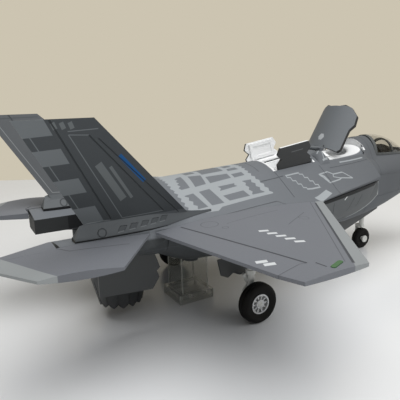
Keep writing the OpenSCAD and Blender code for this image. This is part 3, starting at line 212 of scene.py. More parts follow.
class Flat:
    """A drawing plane of a paint: two of its numbers taken as across and up, in mm."""

    def __init__(self, paint, across, up):
        self.paint = paint
        self.spot = paint.node("ShaderNodeCombineXYZ", None, {0: across, 1: up, 2: 1.0}).outputs[0]

    def row(self, a, b, c):
        """a times across plus b times up plus c."""
        made = self.paint.node(
            "ShaderNodeVectorMath", {"operation": "DOT_PRODUCT"}, {0: self.spot, 1: (a, b, c)})
        return Value(self.paint, made.outputs["Value"])

    def left_of(self, p, q):
        """How far a spot is to the left of the line from p to q."""
        dx, dy = q[0] - p[0], q[1] - p[1]
        length = math.hypot(dx, dy)
        return self.row(-dy / length, dx / length, (dy * p[0] - dx * p[1]) / length)

    def along(self, p, q):
        """How far a spot is along the line from p to q, from its middle."""
        dx, dy = q[0] - p[0], q[1] - p[1]
        length = math.hypot(dx, dy)
        middle = (dx * (p[0] + q[0]) + dy * (p[1] + q[1])) / 2
        return self.row(dx / length, dy / length, -middle / length)

    def distance(self, p):
        """How far a spot is from p."""
        return (self.row(1, 0, -p[0]) ** 2 + self.row(0, 1, -p[1]) ** 2) ** 0.5

    def ring(self, p, radius, half):
        """A mask of the thin ring of a radius round p."""
        return (self.distance(p) - radius).within(half)

    def bar(self, p, q, half):
        """A mask of the straight bar from p to q, half mm to each side."""
        return self.left_of(p, q).within(half) & self.along(p, q).within(math.dist(p, q) / 2)

    def bars(self, p, q, step, count, half):
        """A mask of like bars. The first runs from p to q, and each next one is moved by step."""
        moves = [(step[0] * i, step[1] * i) for i in range(count)]
        return either([self.bar((p[0] + a, p[1] + b), (q[0] + a, q[1] + b), half) for a, b in moves])

    def path(self, points, half):
        """A mask of the bars from point to point."""
        return either([self.bar(p, q, half) for p, q in zip(points, points[1:])])

    def inside(self, points, teeth=()):
        """How far a spot is inside a convex outline. The edges whose numbers are in teeth are zigzags."""
        pitch, depth = 2.0, 0.9
        area = sum(p[0] * q[1] - q[0] * p[1] for p, q in zip(points, [*points[1:], points[0]]))
        ring = points if area > 0 else points[::-1]
        within = None
        for i, (p, q) in enumerate(zip(ring, [*ring[1:], ring[0]])):
            edge = self.left_of(p, q)
            if (i if area > 0 else (len(points) - 2 - i) % len(points)) in teeth:
                edge = edge + self.along(p, q).teeth(pitch, depth)
            within = edge if within is None else within & edge
        return within


def put(name, points, faces, paint, body, edge):
    """A new mesh piece in the shared frame, in metres, that rides on a body and takes a slot's finish.
    edge is the angle in degrees past which an edge stays sharp."""
    mesh = bpy.data.meshes.new(name)
    mesh.from_pydata(points, [], faces)
    mesh.shade_smooth()
    mesh.set_sharp_from_angle(angle=math.radians(edge))
    mesh.materials.append(paint)
    piece = bpy.data.objects.new(name, mesh)
    bpy.context.scene.collection.objects.link(piece)
    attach(piece, body)
    return piece


def welded(node):
    """A CAD node's loose triangles as one skin: corners that share a spot become one point."""
    mesh = frame["nodes"][node].data
    mesh.calc_loop_triangles()
    spots = np.empty(len(mesh.vertices) * 3)
    mesh.vertices.foreach_get("co", spots)
    corners = np.empty(len(mesh.loop_triangles) * 3, int)
    mesh.loop_triangles.foreach_get("vertices", corners)
    points, index = np.unique(np.round(spots.reshape(-1, 3), 7), axis=0, return_inverse=True)
    faces = index.ravel()[corners].reshape(-1, 3)
    whole = (faces != np.roll(faces, 1, axis=1)).all(axis=1)
    return points, faces[whole]


def smoothed(node, paint, edge=BODY_EDGE):
    """The CAD node's own skin, welded and shaded smooth, in place of the node."""
    points, faces = welded(node)
    piece = put(node + "_skin", points, faces, paint, BODY_OF[node], edge)
    even = piece.modifiers.new("even_shading", "WEIGHTED_NORMAL")
    even.keep_sharp = True
    even.weight = 50
    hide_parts(node)


def painted(node, paint):
    """A CAD node whose shape is right, with a paint on its slots."""
    mesh = frame["nodes"][node].data
    mesh.materials.clear()
    mesh.materials.append(paint)


# Paint colours. The hull, wings and tail first, then the fins, doors and smaller pieces.
HULL = tone(116, 120, 125)
# Painted shadow: the hull grey as it looks in the shade under the wing and tail.
FLANK_SHADOW = tone(68, 71, 73)
BOOM_INSIDE = tone(52, 54, 55)
# Painted shade: the intakes' sides and inner faces are hull grey painted darker for the shade on them.
INTAKE_SHADED = tone(95, 98, 100)
INTAKE_INSIDE_SHADE = tone(58, 60, 61)
WING = tone(119, 122, 128)
PALE = tone(151, 155, 156)
LATTICE = tone(162, 167, 170)
FIN = tone(77, 81, 84)
FIN_BAR = tone(119, 124, 127)
FIN_STRIPE = tone(112, 117, 119)
FIN_INSIDE = tone(90, 93, 96)
FIN_INSIDE_LINE = tone(132, 136, 138)
# Painted light and highlight: the fin's fairing painted lighter than its dark plastic, and the pale lower
# edges of its slots.
FAIRING_LIT = tone(100, 104, 107)
SLOT_EDGE_HIGHLIGHT = tone(128, 132, 135)
FAN_DOOR = tone(114, 119, 124)
FAN_DOOR_PATCH = tone(196, 200, 203)
INLET_DOOR = tone(55, 57, 59)
INLET_DOOR_BAR = tone(120, 124, 126)
WHITE = tone(249, 250, 250)
OFF_WHITE = tone(222, 223, 219)
MARK = tone(216, 219, 220)
BLACK = tone(34, 35, 37)
BLUE = tone(33, 92, 150)
MATT = {"Specular IOR Level": 0.2}


def enamel(paint, colour):
    """Sprayed enamel: broad clouds, fine specks and a faint drift of colour.
    Returns colour, roughness and height."""
    cloud_size, speck_size, skin_size = 26, 0.35, 0.5
    drift, skin_height = 0.05, 0.012
    speck_shade, speck_level, speck_cover = 0.8, 0.62, 0.25
    cloud = paint.grain(cloud_size, 3)
    speck = paint.grain(speck_size, 2)
    coat = paint.blend(scaled(colour, 1 - drift), scaled(colour, 1 + drift), cloud)
    specks = (speck - speck_level).over(0.3) * speck_cover
    coat = paint.blend(coat, scaled(colour, speck_shade), specks)
    rough = 0.5 + cloud * 0.12 + speck * 0.06
    return coat, rough, paint.grain(skin_size, 3) * skin_height


def shaded_to_nose(paint, colour):
    """Enamel painted darker towards the nose as painted shade, from full colour aft of one station to dark
    at another.
    """
    dark_s, full_s = 50, 130
    shade, cover = 0.5, 0.8
    coat, rough, height = enamel(paint, colour)
    length = full_s - dark_s
    aft = paint.math("MULTIPLY_ADD", paint.s, 1 / length, -dark_s / length, clamp=True)
    # Painted shade: the colour darkens towards the nose.
    dark = paint.blend(coat, scaled(colour, shade), cover)
    return paint.blend(dark, coat, aft), rough, height


def engraved(paint, finish, lines, colour, depth=0.12, shade=0.5):
    """Panel lines: darker, duller and sunk by depth mm where the mask is 1."""
    cover, dulling = 0.85, 0.2
    coat, rough, height = finish
    coat = paint.blend(coat, scaled(colour, shade), lines * cover)
    return coat, rough + lines * dulling, height - lines * depth


def hull_paint():
    """Hull enamel with cross seams and a lower seam. The flanks are painted darker aft and low down, as
    painted shadow under the wing and tail. The booms are dark on their inner faces and ends, and black
    beside the nozzle."""
    flank_top, flank_start = 33.4, 120
    boom_start, nozzle_end, boom_end = 166, 185.3, 196.2
    cross_seams, lower_seam = (40, 66, 118, 140), 29.5
    paint = Paint("hull_enamel")
    coat, rough, height = shaded_to_nose(paint, HULL)
    # Painted shadow on the flanks, low down and aft.
    flank_shadow = (flank_top - paint.z).over(0.6) & (paint.s - flank_start).over(30)
    coat = paint.blend(coat, FLANK_SHADOW, flank_shadow)
    boom, inner = (paint.s - boom_start).over(0.2), paint.inward()
    ends = (paint.s - boom_end).over(0.1)
    coat = paint.blend(coat, BOOM_INSIDE, boom & (inner | ends))
    coat = paint.blend(coat, BLACK, boom & inner & (nozzle_end - paint.s).over(0.2))
    seams = either([(paint.s - s).within(0.13) for s in cross_seams] + [(paint.z - lower_seam).within(0.11)])
    return paint.finish(*engraved(paint, (coat, rough, height), seams, HULL), extra=MATT)


def intake_paint():
    """Side enamel of an intake, painted darker than the hull as painted shade: a pale lip on its outer face
    as a painted highlight, inner faces painted dark as painted shade, a black line of painted shadow under
    the shoulder and a white slash. The lip's station grows with powers of the fall from its top."""
    lip_top, lip_drop = 38.6, 14.24
    lip_s, lip_sweep, sweep_power, lip_hook, hook_power = 62.0, 17.5, 2.2, 2, 3.2
    inner_width, lip_width = 1.5, 0.75
    paint = Paint("intake_enamel")
    coat, rough, height = enamel(paint, INTAKE_SHADED)
    face = Flat(paint, paint.s, paint.z)
    fall = paint.math("MULTIPLY_ADD", paint.z, -1 / lip_drop, lip_top / lip_drop, clamp=True)
    lip = lip_s + fall ** sweep_power * lip_sweep + (1 - fall ** hook_power) * lip_hook
    outer = (paint.outward() - 0.35).over(0.2)
    # Painted shade on the inner faces behind the lip.
    inner = (1 - outer) & (lip + inner_width - paint.s).over(0.2)
    coat = paint.blend(coat, INTAKE_INSIDE_SHADE, inner)
    # Painted highlight: a pale band along the lip's edge.
    coat = paint.blend(coat, PALE, (lip + lip_width - paint.s).over(0.2) & outer)
    coat = paint.blend(coat, MARK, face.bar((90.1, 33.9), (87.8, 36.0), 0.22))
    # Painted shadow: a black line under the shoulder.
    coat = paint.blend(coat, BLACK, face.left_of((66, 37.5), (104, 33.5)).over(0.15))
    lines = either([
        face.bar((84, 34), (87.5, 29), 0.12), face.bar((79, 34.5), (82, 30), 0.1),
        face.bar((96, 33.5), (96, 22), 0.12), face.bar((84, 25.2), (104, 23.2), 0.14)])
    return paint.finish(*engraved(paint, (coat, rough, height), lines, INTAKE_SHADED), extra=MATT)


# The pale lattice behind the doors: its outlines, then the openings in it, each a ring of stations and
# distances from the middle line with the numbers of its toothed edges.
LATTICE_OUTLINES = [
    ([(156.2, -2), (123.7, -2), (123.9, 11), (156.2, 11)], (1, 3)),
    ([(156.2, 9), (124.0, 9), (121.2, 19.3), (144.6, 21.3), (155.2, 20.8)], (1, 4)),
    ([(143.4, 21), (146, 22.5), (152.6, 22), (155.2, 20.8), (150, 18)], ()),
]
LATTICE_OPENINGS = [
    ([(151.6, 3.4), (149.2, 2.8), (149.9, 10.9), (153.6, 11.2)], (3,)),
    ([(146.8, 3.6), (142.1, 4.5), (143.4, 10.5), (147.9, 11.0)], ()),
    ([(147.0, -2), (142.6, -2), (142.7, 1.6), (146.6, 2.0)], ()),
    ([(140.7, -2), (132.0, -2), (132.2, 4.1), (141.3, 4.2)], ()),
    ([(141.2, 6.4), (132.4, 6.8), (132.5, 9.7), (141.7, 10.5)], ()),
    ([(130.2, 3.3), (126.4, 3.1), (126.0, 5.1), (130.8, 5.2)], ()),
    ([(130.4, -2), (127.0, -2), (127.0, 1.7), (130.2, 1.7)], ()),
    ([(131.1, 7.6), (126.4, 7.4), (126.4, 9.5), (131.1, 9.9)], ()),
    ([(153.4, 14.0), (150.3, 13.7), (148.4, 20.1), (151.8, 20.2)], (3,)),
    ([(148.0, 13.5), (143.7, 13.1), (142.0, 19.8), (146.8, 19.9)], ()),
    ([(139.8, 12.8), (133.3, 12.6), (133.0, 14.1), (140.0, 14.8)], (1, 3)),
    ([(140.7, 17.0), (131.9, 16.3), (130.9, 18.9), (139.6, 19.4)], ()),
    ([(129.1, 12.2), (126.1, 12.2), (124.5, 18.4), (129.2, 18.6)], (1, 3)),
]


def spine_paint():
    """Hull enamel with the pale lattice behind the doors, outlined panels, and white walls in the wells
    under the doors."""
    fan_well_s, fan_well_half, fan_well_top = (60.33, 84.45), 8.2, 50.6
    front_wall_s, front_wall_rise = 60.42, 9
    inlet_well_s, inlet_well_half = (92.4, 113.6), 10.28
    crisp = 0.02
    paint = Paint("spine_enamel")
    coat, rough, height = shaded_to_nose(paint, HULL)
    top = Flat(paint, paint.s, paint.side)
    lattice = either([top.inside(outline, teeth) for outline, teeth in LATTICE_OUTLINES]).over()
    for outline, teeth in LATTICE_OPENINGS:
        lattice = lattice & (1 - top.inside(outline, teeth).over())
    toothed = top.inside([(111.0, 13.0), (103.6, 12.9), (97.9, 20.0), (105.2, 19.8)], (1, 3))
    marks = [
        (toothed - 0.3).within(0.25),
        top.path([(95.3, 15.5), (90.5, 15.2), (88.6, 16.5), (83.6, 16.5), (80.6, 19.4), (86, 18.4),
                  (87.2, 18.8), (93, 19.1), (94.3, 16.8), (95.3, 15.5)], 0.2),
        top.path([(88.6, 16.5), (89.4, 17.4), (86.3, 18.4)], 0.16),
        top.path([(95.0, 15.9), (93.6, 16.4), (92.8, 18.7)], 0.42),
        top.bar((80.8, 12.4), (67.3, 12.5), 0.28),
        top.inside([(104.7, 23.0), (96.9, 21.0), (95.4, 22.8), (103.2, 25.4)]).over(),
        top.path([(89.6, 8.4), (86.4, 6.9), (86.2, 10.9), (89.0, 11.2)], 0.24),
        top.bar((86.4, 6.9), (88.2, 10.8), 0.2),
    ]
    coat = paint.blend(coat, LATTICE, either([lattice] + marks))
    lines = either([
        top.path([(161.6, 26.9), (141.3, 24.8), (122.2, 22.8), (119, 26)], 0.16),
        top.bar((122.3, 13.9), (111.4, 13.2), 0.15), top.bar((92, 12), (92, 24), 0.12),
        top.bar((57, 0), (57, 24), 0.13), top.bar((113.5, 0), (113.5, 22), 0.12),
        top.bar((119.5, 0), (119.5, 9), 0.1), top.bar((66, 14), (88, 14), 0.1)])
    coat, rough, height = engraved(paint, (coat, rough, height), lines, HULL)
    front_wall = (paint.s - front_wall_s).within(0.06, crisp)
    low = (fan_well_top - paint.z + front_wall * front_wall_rise).over(0.05)
    fan_well = paint.s.between(*fan_well_s, crisp) & paint.side.within(fan_well_half, crisp) & low
    inlet_well = paint.s.between(*inlet_well_s, crisp) & paint.side.within(inlet_well_half, crisp)
    coat = paint.blend(coat, WHITE, fan_well | inlet_well)
    return paint.finish(coat, rough, height, extra=MATT)


def wing_paint():
    """Wing enamel: a pale leading band with a sunk groove, the flap's hinge line and white slanted bars."""
    middle_z = 34.2
    paint = Paint("wing_enamel")
    coat, rough, height = enamel(paint, WING)
    top = Flat(paint, paint.s, paint.side)
    band = (top.left_of((108.7, 28.1), (140.6, 70.9)).over()
            | top.left_of((140.6, 70.9), (143.9, 74.8)).over())
    coat = paint.blend(coat, PALE, band * 0.9)
    white = (top.bars((146.6, 43.9), (144.0, 44.9), (-0.62, 2.9), 5, 0.62)
             | top.bars((160.2, 60.2), (157.6, 61.2), (-0.6, 2.2), 2, 0.7))
    coat = paint.blend(coat, MARK, white & (paint.z - middle_z).over(0.2))
    grooves = either([
        top.bar((107.9, 26.6), (142.1, 72.6), 0.3), top.bar((161.9, 26.6), (151.3, 67.3), 0.26),
        top.bar((149.5, 68.3), (149.1, 71.2), 0.16)])
    coat, rough, height = engraved(paint, (coat, rough, height), grooves, WING, 0.25, 0.35)
    fine = either([
        top.bar((109.3, 25.4), (143.4, 71.3), 0.11),
        top.path([(151.3, 67.3), (153, 66.9), (161, 68.6)], 0.12),
        top.bar((135.6, 43.6), (121.9, 35.5), 0.1), top.bar((128, 30), (150, 33), 0.08),
        top.ring((154.3, 30.3), 2.6, 0.09), top.ring((152.2, 35.6), 0.9, 0.08),
        top.ring((126.4, 40.2), 1.6, 0.08)])
    return paint.finish(*engraved(paint, (coat, rough, height), fine, WING, 0.06, 0.66), extra=MATT)


def tail_paint():
    """Tailplane enamel with a pale rear band, bevels and undersides painted darker as painted shade, and a
    panel line round its root.
    """
    bevel_facing = 0.955
    paint = Paint("tail_enamel")
    coat, rough, height = enamel(paint, WING)
    top = Flat(paint, paint.s, paint.side)
    # Painted shade: faces that turn away from straight up are painted darker.
    bevel_shade = (bevel_facing - paint.facing()[2]).over(0.04)
    coat = paint.blend(coat, scaled(WING, 0.6), bevel_shade * 0.35)
    coat = paint.blend(coat, PALE, top.left_of((201.0, 43.3), (206.9, 31.4)).over())
    lines = top.path([(179.7, 31.1), (187.4, 30.1), (194.8, 29.0), (197.3, 25.0)], 0.13)
    return paint.finish(*engraved(paint, (coat, rough, height), lines, WING), extra=MATT)


def fin_paint():
    """Dark fin enamel: lighter rudder bars, pale outlines, a blue bar and plain slanted stripes. The inner
    face is plainer. The fairing at the foot is the same dark plastic, painted lighter as painted light. It
    has a sunk ring and sunk slots painted darker as painted shade, the slots with pale lower edges as
    painted highlights, and a black skirt of painted shadow along its foot."""
    blade_foot, foot_shadow_top, foot_shadow_start = 40.6, 36.5, 164
    bar_slope, bar_s = 0.06, 195
    bar_levels = ((58.28, 62.22), (49.9, 54.14), (40.29, 45.53))
    top_bar_level = 65.52
    slots = ((179.4, 37.3), (176, 37.5), (172.6, 37.7), (169.4, 37.9), (166.4, 38.1))
    paint = Paint("fin_enamel")
    coat, rough, height = enamel(paint, FIN)
    face = Flat(paint, paint.s, paint.z)
    blade = (paint.z - blade_foot).over()
    fairing = (blade_foot - paint.z).over()
    level = face.row(bar_slope, 1, -bar_slope * bar_s)
    light = either([(level - top_bar_level).over()] + [level.between(*ends) for ends in bar_levels])
    rudder = face.left_of((198.9, 68.6), (184.1, 41.5)).over()
    coat = paint.blend(coat, FIN_BAR, rudder & light & blade)
    stripes = either([
        face.bar((186.4, 57.6), (178.8, 46.9), 0.95), face.bar((183.2, 56.6), (176.4, 47.0), 0.4),
        face.bars((197.3, 68.2), (196.6, 66.7), (-1.9, 0), 3, 0.5)])
    coat = paint.blend(coat, FIN_STRIPE, stripes)
    coat = paint.blend(coat, BLUE, face.bar((181.0, 59.4), (173.2, 51.5), 0.55))
    outlines = either([
        face.path([(201.0, 67.4), (203.1, 67.0), (188.3, 41.4), (182.0, 40.9)], 0.11),
        face.path([(189.0, 65.0), (193.7, 65.3), (178.6, 41.0), (166.0, 41.3)], 0.1),
        face.bar((193.9, 66.1), (186.8, 66.4), 0.1)])
    coat = paint.blend(coat, FIN_BAR, outlines)
    # Painted light: the fairing painted lighter than the blade.
    coat = paint.blend(coat, FAIRING_LIT, fairing)
    lines = either([
        face.bar((197.9, 68.8), (181.9, 41.2), 0.17), face.bar((189.0, 65.0), (166.0, 41.3), 0.14),
        face.bar((186.7, 64.1), (160.6, 39.8), 0.12)])
    coat, rough, height = engraved(paint, (coat, rough, height), lines, FIN, 0.2, 0.55)
    inside = paint.inward() & blade
    inside_line = face.path([(202.6, 67.2), (187.8, 41.4), (180.0, 41.0)], 0.12)
    coat = paint.blend(coat, FIN_INSIDE, inside)
    coat = paint.blend(coat, FIN_INSIDE_LINE, inside & inside_line)
    coat = paint.blend(coat, FIN, inside & (face.bar((205.2, 67.6), (188.0, 67.9), 0.2) | lines))
    # Painted shade and highlight: the sunk ring and slots are painted darker, and the slots' lower edges
    # pale.
    edges = either([face.bar((s + 0.9, z - 0.1), (s - 1.0, z), 0.13) for s, z in slots])
    corners = [[(s, z + 1.5), (s - 2.0, z + 1.4), (s - 1.0, z - 0.1), (s + 0.9, z)] for s, z in slots]
    sunk = either([face.inside(ring).over() for ring in corners] + [face.ring((184.7, 37.7), 1.15, 0.12)])
    coat, rough, height = engraved(paint, (coat, rough, height), sunk & fairing, FAIRING_LIT, 0.35, 0.72)
    coat = paint.blend(coat, SLOT_EDGE_HIGHLIGHT, edges & fairing)
    # Painted shadow: a black band along the fairing's foot.
    skirt = (foot_shadow_top - paint.z).over(0.25) & (paint.s - foot_shadow_start).over(4)
    return paint.finish(paint.blend(coat, BLACK, skirt), rough, height, extra=MATT)


def inlet_door_paint():
    """Inlet doors: dark outside and at the ends with a plain pale bar, white inner face and rim."""
    paint = Paint("inlet_door_enamel")
    coat, rough, height = enamel(paint, INLET_DOOR)
    bar = Flat(paint, paint.s, paint.z).bar((105.4, 52.3), (99.6, 53.1), 0.14)
    coat = paint.blend(coat, INLET_DOOR_BAR, bar * 0.7)
    outer = (paint.outward() - 0.4).over(0.1)
    ends = 1 - paint.facing()[0].within(0.5, 0.1)
    return paint.finish(paint.blend(WHITE, coat, outer | ends), rough, height)


def fan_door_paint():
    """Fan door enamel with a dark rim and tip, and a pale six-sided patch in a sunk line. The patch is drawn
    by the distance from the hinge and from the middle line."""
    patch_reach, patch_y = 6.0, -0.4
    patch_half, patch_line = 1.35, 1.5
    tip_reach = 21.6
    paint = Paint("fan_door_enamel")
    coat, rough, height = enamel(paint, FAN_DOOR)
    rise, ahead = paint.z - FAN_HINGE_Z, FAN_HINGE_S - paint.s
    reach = (rise * rise + ahead * ahead) ** 0.5
    along, across = abs(reach - patch_reach), abs(paint.y - patch_y)
    patch = along * 0.95 | along * 0.475 + across * 0.9
    facing_x, _, facing_z = paint.facing()
    outer = (0 - facing_x).over(0.1)
    coat = paint.blend(coat, FAN_DOOR_PATCH, (patch_half - patch).over() & outer)
    rim = (0.45 - abs(facing_z * 0.6 - facing_x * 0.8)).over(0.1)
    coat = paint.blend(coat, BLACK, rim | (reach - tip_reach).over(0.2))
    return paint.finish(coat, rough, height - (patch - patch_line).within(0.1) * 0.05)


def well_paint(name, station, half_s, half_y):
    """White inside an oval of the power 4 about a station, and hull enamel outside it."""
    paint = Paint(name)
    coat, rough, height = enamel(paint, HULL)
    oval = (abs(station - paint.s) / half_s) ** 4 + (paint.side / half_y) ** 4
    coat = paint.blend(coat, WHITE, (1 - oval).over(0.15))
    return paint.finish(coat, rough, height, extra=MATT)


def plain_paint(name, colour, drift=0.05, low=0.38, high=0.52, texture=0.015, metal=0.0, extra=None):
    """Moulded plastic: a faint drift of colour, roughness from low to high and a fine texture in mm."""
    paint = Paint(name)
    cloud = paint.grain(9, 3)
    fine = paint.grain(0.3, 3)
    mixed = cloud * 0.7 + fine * 0.3
    coat = paint.blend(scaled(colour, 1 - drift), scaled(colour, 1 + drift), mixed)
    return paint.finish(coat, low + (high - low) * cloud, fine * texture, metal, extra)


def clear_paint(name, colour, alpha, coat_weight, edges=None):
    """Clear moulded plastic with a faint haze. It is denser and paler where the mask edges is 1, as painted
    highlights.
    """
    paint = Paint(name)
    haze = paint.grain(6, 2)
    coat = paint.blend(scaled(colour, 0.9), colour, haze)
    cover = alpha + haze * 0.06
    if edges:
        # Painted highlight: paler and denser along the edges in the mask.
        rim = edges(paint)
        coat = paint.blend(coat, OFF_WHITE, rim * 0.5)
        cover = cover + rim * 0.35
    extra = {"Alpha": cover, "Coat Weight": coat_weight, **MATT}
    return paint.finish(coat, 0.04 + haze * 0.05, extra=extra)


def stand_edge_highlights(paint):
    """A mask of painted highlights along the stand's edges: spots close to two faces of its foot or of its
    column at once.
    """
    stand_s, foot_top = 146, 3.6
    foot_s, foot_y, column = 6.2, 6.0, 4.9
    step_z, step_half = 2.8, 0.9
    soft = 0.5
    ahead, foot = abs(paint.s - stand_s), (foot_top - paint.z).over()
    near_s = (ahead - foot_s).over(soft) & foot | (ahead - column).over(soft) & (1 - foot)
    near_y = (paint.side - foot_y).over(soft) & foot | (paint.side - column).over(soft) & (1 - foot)
    near_z = (paint.z - step_z).within(step_half, soft)
    return near_s & near_y | near_z & (near_s | near_y) * 0.6


def blisters(paint):
    """A low dome on each side of the fan door's hinge. The shell under it falls away from the crown with
    the square of y. Over a grid u, v from -1 to 1 the dome's top stands rise times (1 - u^2)(1 - v^2)
    above the shell. Its foot lies sunk mm below the shell."""
    middle_s, half_s = 87.8, 3.0
    middle_y, half_y = 8.6, 3.5
    crown, crown_fall = 50.68, 0.0305
    rise, sunk = 2.4, 0.4
    count = 15
    u, v = np.meshgrid(np.linspace(-1, 1, count), np.linspace(-1, 1, count), indexing="ij")
    x = NOSE_X - middle_s - half_s * u
    y = middle_y + half_y * v
    shell = crown - crown_fall * y ** 2
    grid = np.arange(count ** 2).reshape(count, count)
    quads = np.stack([grid[:-1, :-1], grid[:-1, 1:], grid[1:, 1:], grid[1:, :-1]], -1).reshape(-1, 4)
    ring = np.concatenate([grid[0, :-1], grid[:-1, -1], grid[-1, :0:-1], grid[:0:-1, 0]])
    after = np.roll(ring, -1)
    wall = np.stack([ring, ring + count ** 2, after + count ** 2, after], -1)
    faces = np.concatenate([quads, quads[:, ::-1] + count ** 2, wall])
    heights = (shell + rise * (1 - u ** 2) * (1 - v ** 2), shell - sunk)
    for name, hand in (("left_blister", 1), ("right_blister", -1)):
        layers = [np.stack([x, hand * y, z], -1).reshape(-1, 3) for z in heights]
        put(name, (np.concatenate(layers) * MM).tolist(), faces[:, ::hand].tolist(), paint,
            BODY_OF["upper_shell"], ROUND_EDGE)


def fan_lip(paint):
    """The rounded lip of the fan's well: a closed ring round the fan. The tray under it is a round bar that
    climbs forward, so its height is the climb plus the root of radius^2 - y^2, and the lip's top lies proud
    of that. The top runs in from a near-rectangle to an oval crest, turns down through a quarter circle,
    and ends level at the foot."""
    bar_radius, bar_z, climb = 12.8, 36.65, math.tan(math.radians(4.5))
    proud, skirt, bend_radius, foot_z = 0.1, 1.0, 1.4, 42.0
    turn = np.linspace(0, 2 * math.pi, 96, endpoint=False)
    cosine, sine = np.cos(turn), np.sin(turn)

    def oval(front, aft, wide, power):
        """Points round the fan: cosine and sine to the power 2 / power, times the half lengths."""
        ahead = np.where(cosine > 0, front, aft) * np.sign(cosine) * np.abs(cosine) ** (2 / power)
        return np.stack([ahead, wide * np.sign(sine) * np.abs(sine) ** (2 / power)], -1)

    def over_tray(flat):
        """The lip's height over points ahead of the fan and to its left."""
        slope = (flat[..., 0] + FAN_HINGE_S - FAN_S) * climb
        return bar_z + proud + slope + np.sqrt(bar_radius ** 2 - flat[..., 1] ** 2)

    outer, crest, hole = oval(12.4, 6.9, 10.5, 4), oval(8.6, 6.4, 7.0, 2.4), oval(7.2, 5.2, 5.6, 2.4)
    top = crest + (outer - crest) * np.linspace(1, 0, 7)[:, None, None]
    bend = np.linspace(0, math.pi / 2, 9)[1:, None]
    bent = crest + (hole - crest) * np.sin(bend)[..., None]
    flat = np.concatenate([outer[None], top, bent, hole[None], hole[None] * 1.1])
    height = np.concatenate([
        over_tray(outer)[None] - skirt, over_tray(top),
        over_tray(crest) - bend_radius * (1 - np.cos(bend)), np.full((2, len(turn)), foot_z)])
    points = np.concatenate([flat + [NOSE_X - FAN_S, 0.0], height[..., None]], -1) * MM
    grid = np.arange(height.size).reshape(height.shape)
    below, beside = np.roll(grid, -1, axis=0), np.roll(grid, -1, axis=1)
    quads = np.stack([grid, beside, np.roll(below, -1, axis=1), below], -1).reshape(-1, 4)
    put("fan_lip", points.reshape(-1, 3).tolist(), quads.tolist(), paint,
        BODY_OF["fan_tray"], ROUND_EDGE)


def cockpit_hood(paint):
    """The dark hood over the instruments: half ovals set across the cockpit, with cosine and sine to the
    power 2 / 2.6. Their half width and height are drawn through a few stations, and their foot is level."""
    foot_z, power = 44.4, 2 / 2.6
    stations = [31.2, 33.0, 36.0, 39.0, 43.6, 44.4]
    s = np.linspace(stations[0], stations[-1], 29)
    wide = np.interp(s, stations, [3.0, 3.9, 4.6, 4.8, 4.8, 4.5])[:, None]
    tall = np.interp(s, stations, [0.6, 2.4, 4.6, 5.6, 5.5, 4.9])[:, None]
    turn = np.linspace(0, math.pi, 25)
    across = np.sign(np.cos(turn)) * np.abs(np.cos(turn)) ** power
    up = np.sin(turn) ** power
    x = np.repeat((NOSE_X - s)[:, None], len(turn), 1)
    points = np.stack([x, wide * across, foot_z + tall * up], -1).reshape(-1, 3) * MM
    grid = np.arange(len(points)).reshape(x.shape)
    after = np.roll(grid, -1, axis=1)
    quads = np.stack([grid[:-1], grid[1:], after[1:], after[:-1]], -1).reshape(-1, 4)
    faces = quads.tolist() + [grid[0].tolist(), grid[-1, ::-1].tolist()]
    put("cockpit_hood", points.tolist(), faces, paint,
        BODY_OF["cockpit_tub"], ROUND_EDGE)


def table_top():
    """A plain pale table: a flat rectangle turned to face the camera, in metres."""
    heading = np.array([0.49909, 0.86655])
    aside = np.array([heading[1], -heading[0]])
    below_camera = np.array([-0.10862, -0.13398])
    near, far, half = -0.9, 0.42, 1.2
    ends = ((near, -half), (near, half), (far, half), (far, -half))
    corners = [below_camera + heading * u + aside * v for u, v in ends]
    mesh = bpy.data.meshes.new("table_top")
    mesh.from_pydata([(x, y, 0.0) for x, y in corners], [], [(0, 1, 2, 3)])
    paint = Paint("table_white")
    cloud = paint.grain(60, 2)
    coat = paint.blend(tone(238, 239, 240), tone(243, 244, 244), cloud)
    mesh.materials.append(paint.finish(coat, 0.22 + cloud * 0.06))
    top = bpy.data.objects.new("table_top", mesh)
    bpy.context.scene.collection.objects.link(top)


def lamp(name, place, aim, size, power):
    """A soft square lamp at place that faces aim."""
    light = bpy.data.lights.new(name, "AREA")
    light.shape, light.size, light.energy = "SQUARE", size, power
    lit = bpy.data.objects.new(name, light)
    lit.location = place
    lit.rotation_mode = "QUATERNION"
    lit.rotation_quaternion = (Vector(aim) - Vector(place)).to_track_quat("-Z", "Y")
    bpy.context.scene.collection.objects.link(lit)


def room(ambient, seen):
    """Even light from all round. The camera, gloss and clear plastic see a plain pale wall instead."""
    world = bpy.data.worlds.new("room")
    graph = Graph(world)
    rays = graph.node("ShaderNodeLightPath").outputs
    kinds = ("Is Camera Ray", "Is Transmission Ray", "Is Glossy Ray")
    sight = either([Value(graph, rays[kind]) for kind in kinds])
    light, wall = (
        graph.node("ShaderNodeBackground", None, {"Color": colour, "Strength": 1.0}).outputs[0]
        for colour in (ambient, seen))
    pick = graph.node("ShaderNodeMixShader", None, {0: sight, 1: light, 2: wall})
    graph.node("ShaderNodeOutputWorld", None, {"Surface": pick.outputs[0]})
    bpy.context.scene.world = world


def camera():
    """The photograph's eye: place, axes and lens."""
    right = (0.86339994, -0.50391152, -0.02477344)
    down = (-0.13444892, -0.18248149, -0.9739733)
    forward = (0.48627567, 0.84425925, -0.22530487)
    place = (-0.10862055, -0.13397933, 0.07202715)
    eye = bpy.data.cameras.new("eye")
    eye.sensor_width, eye.lens = 36.0, 38.463
    eye.clip_start, eye.clip_end = 0.001, 20.0
    seen = bpy.data.objects.new("eye", eye)
    rows = [(right[i], -down[i], -forward[i], place[i]) for i in range(3)]
    seen.matrix_world = Matrix(rows + [(0, 0, 0, 1)])
    bpy.context.scene.collection.objects.link(seen)
    bpy.context.scene.camera = seen


def both(piece):
    """The names of the left and the right node of a pair."""
    return "left_" + piece, "right_" + piece


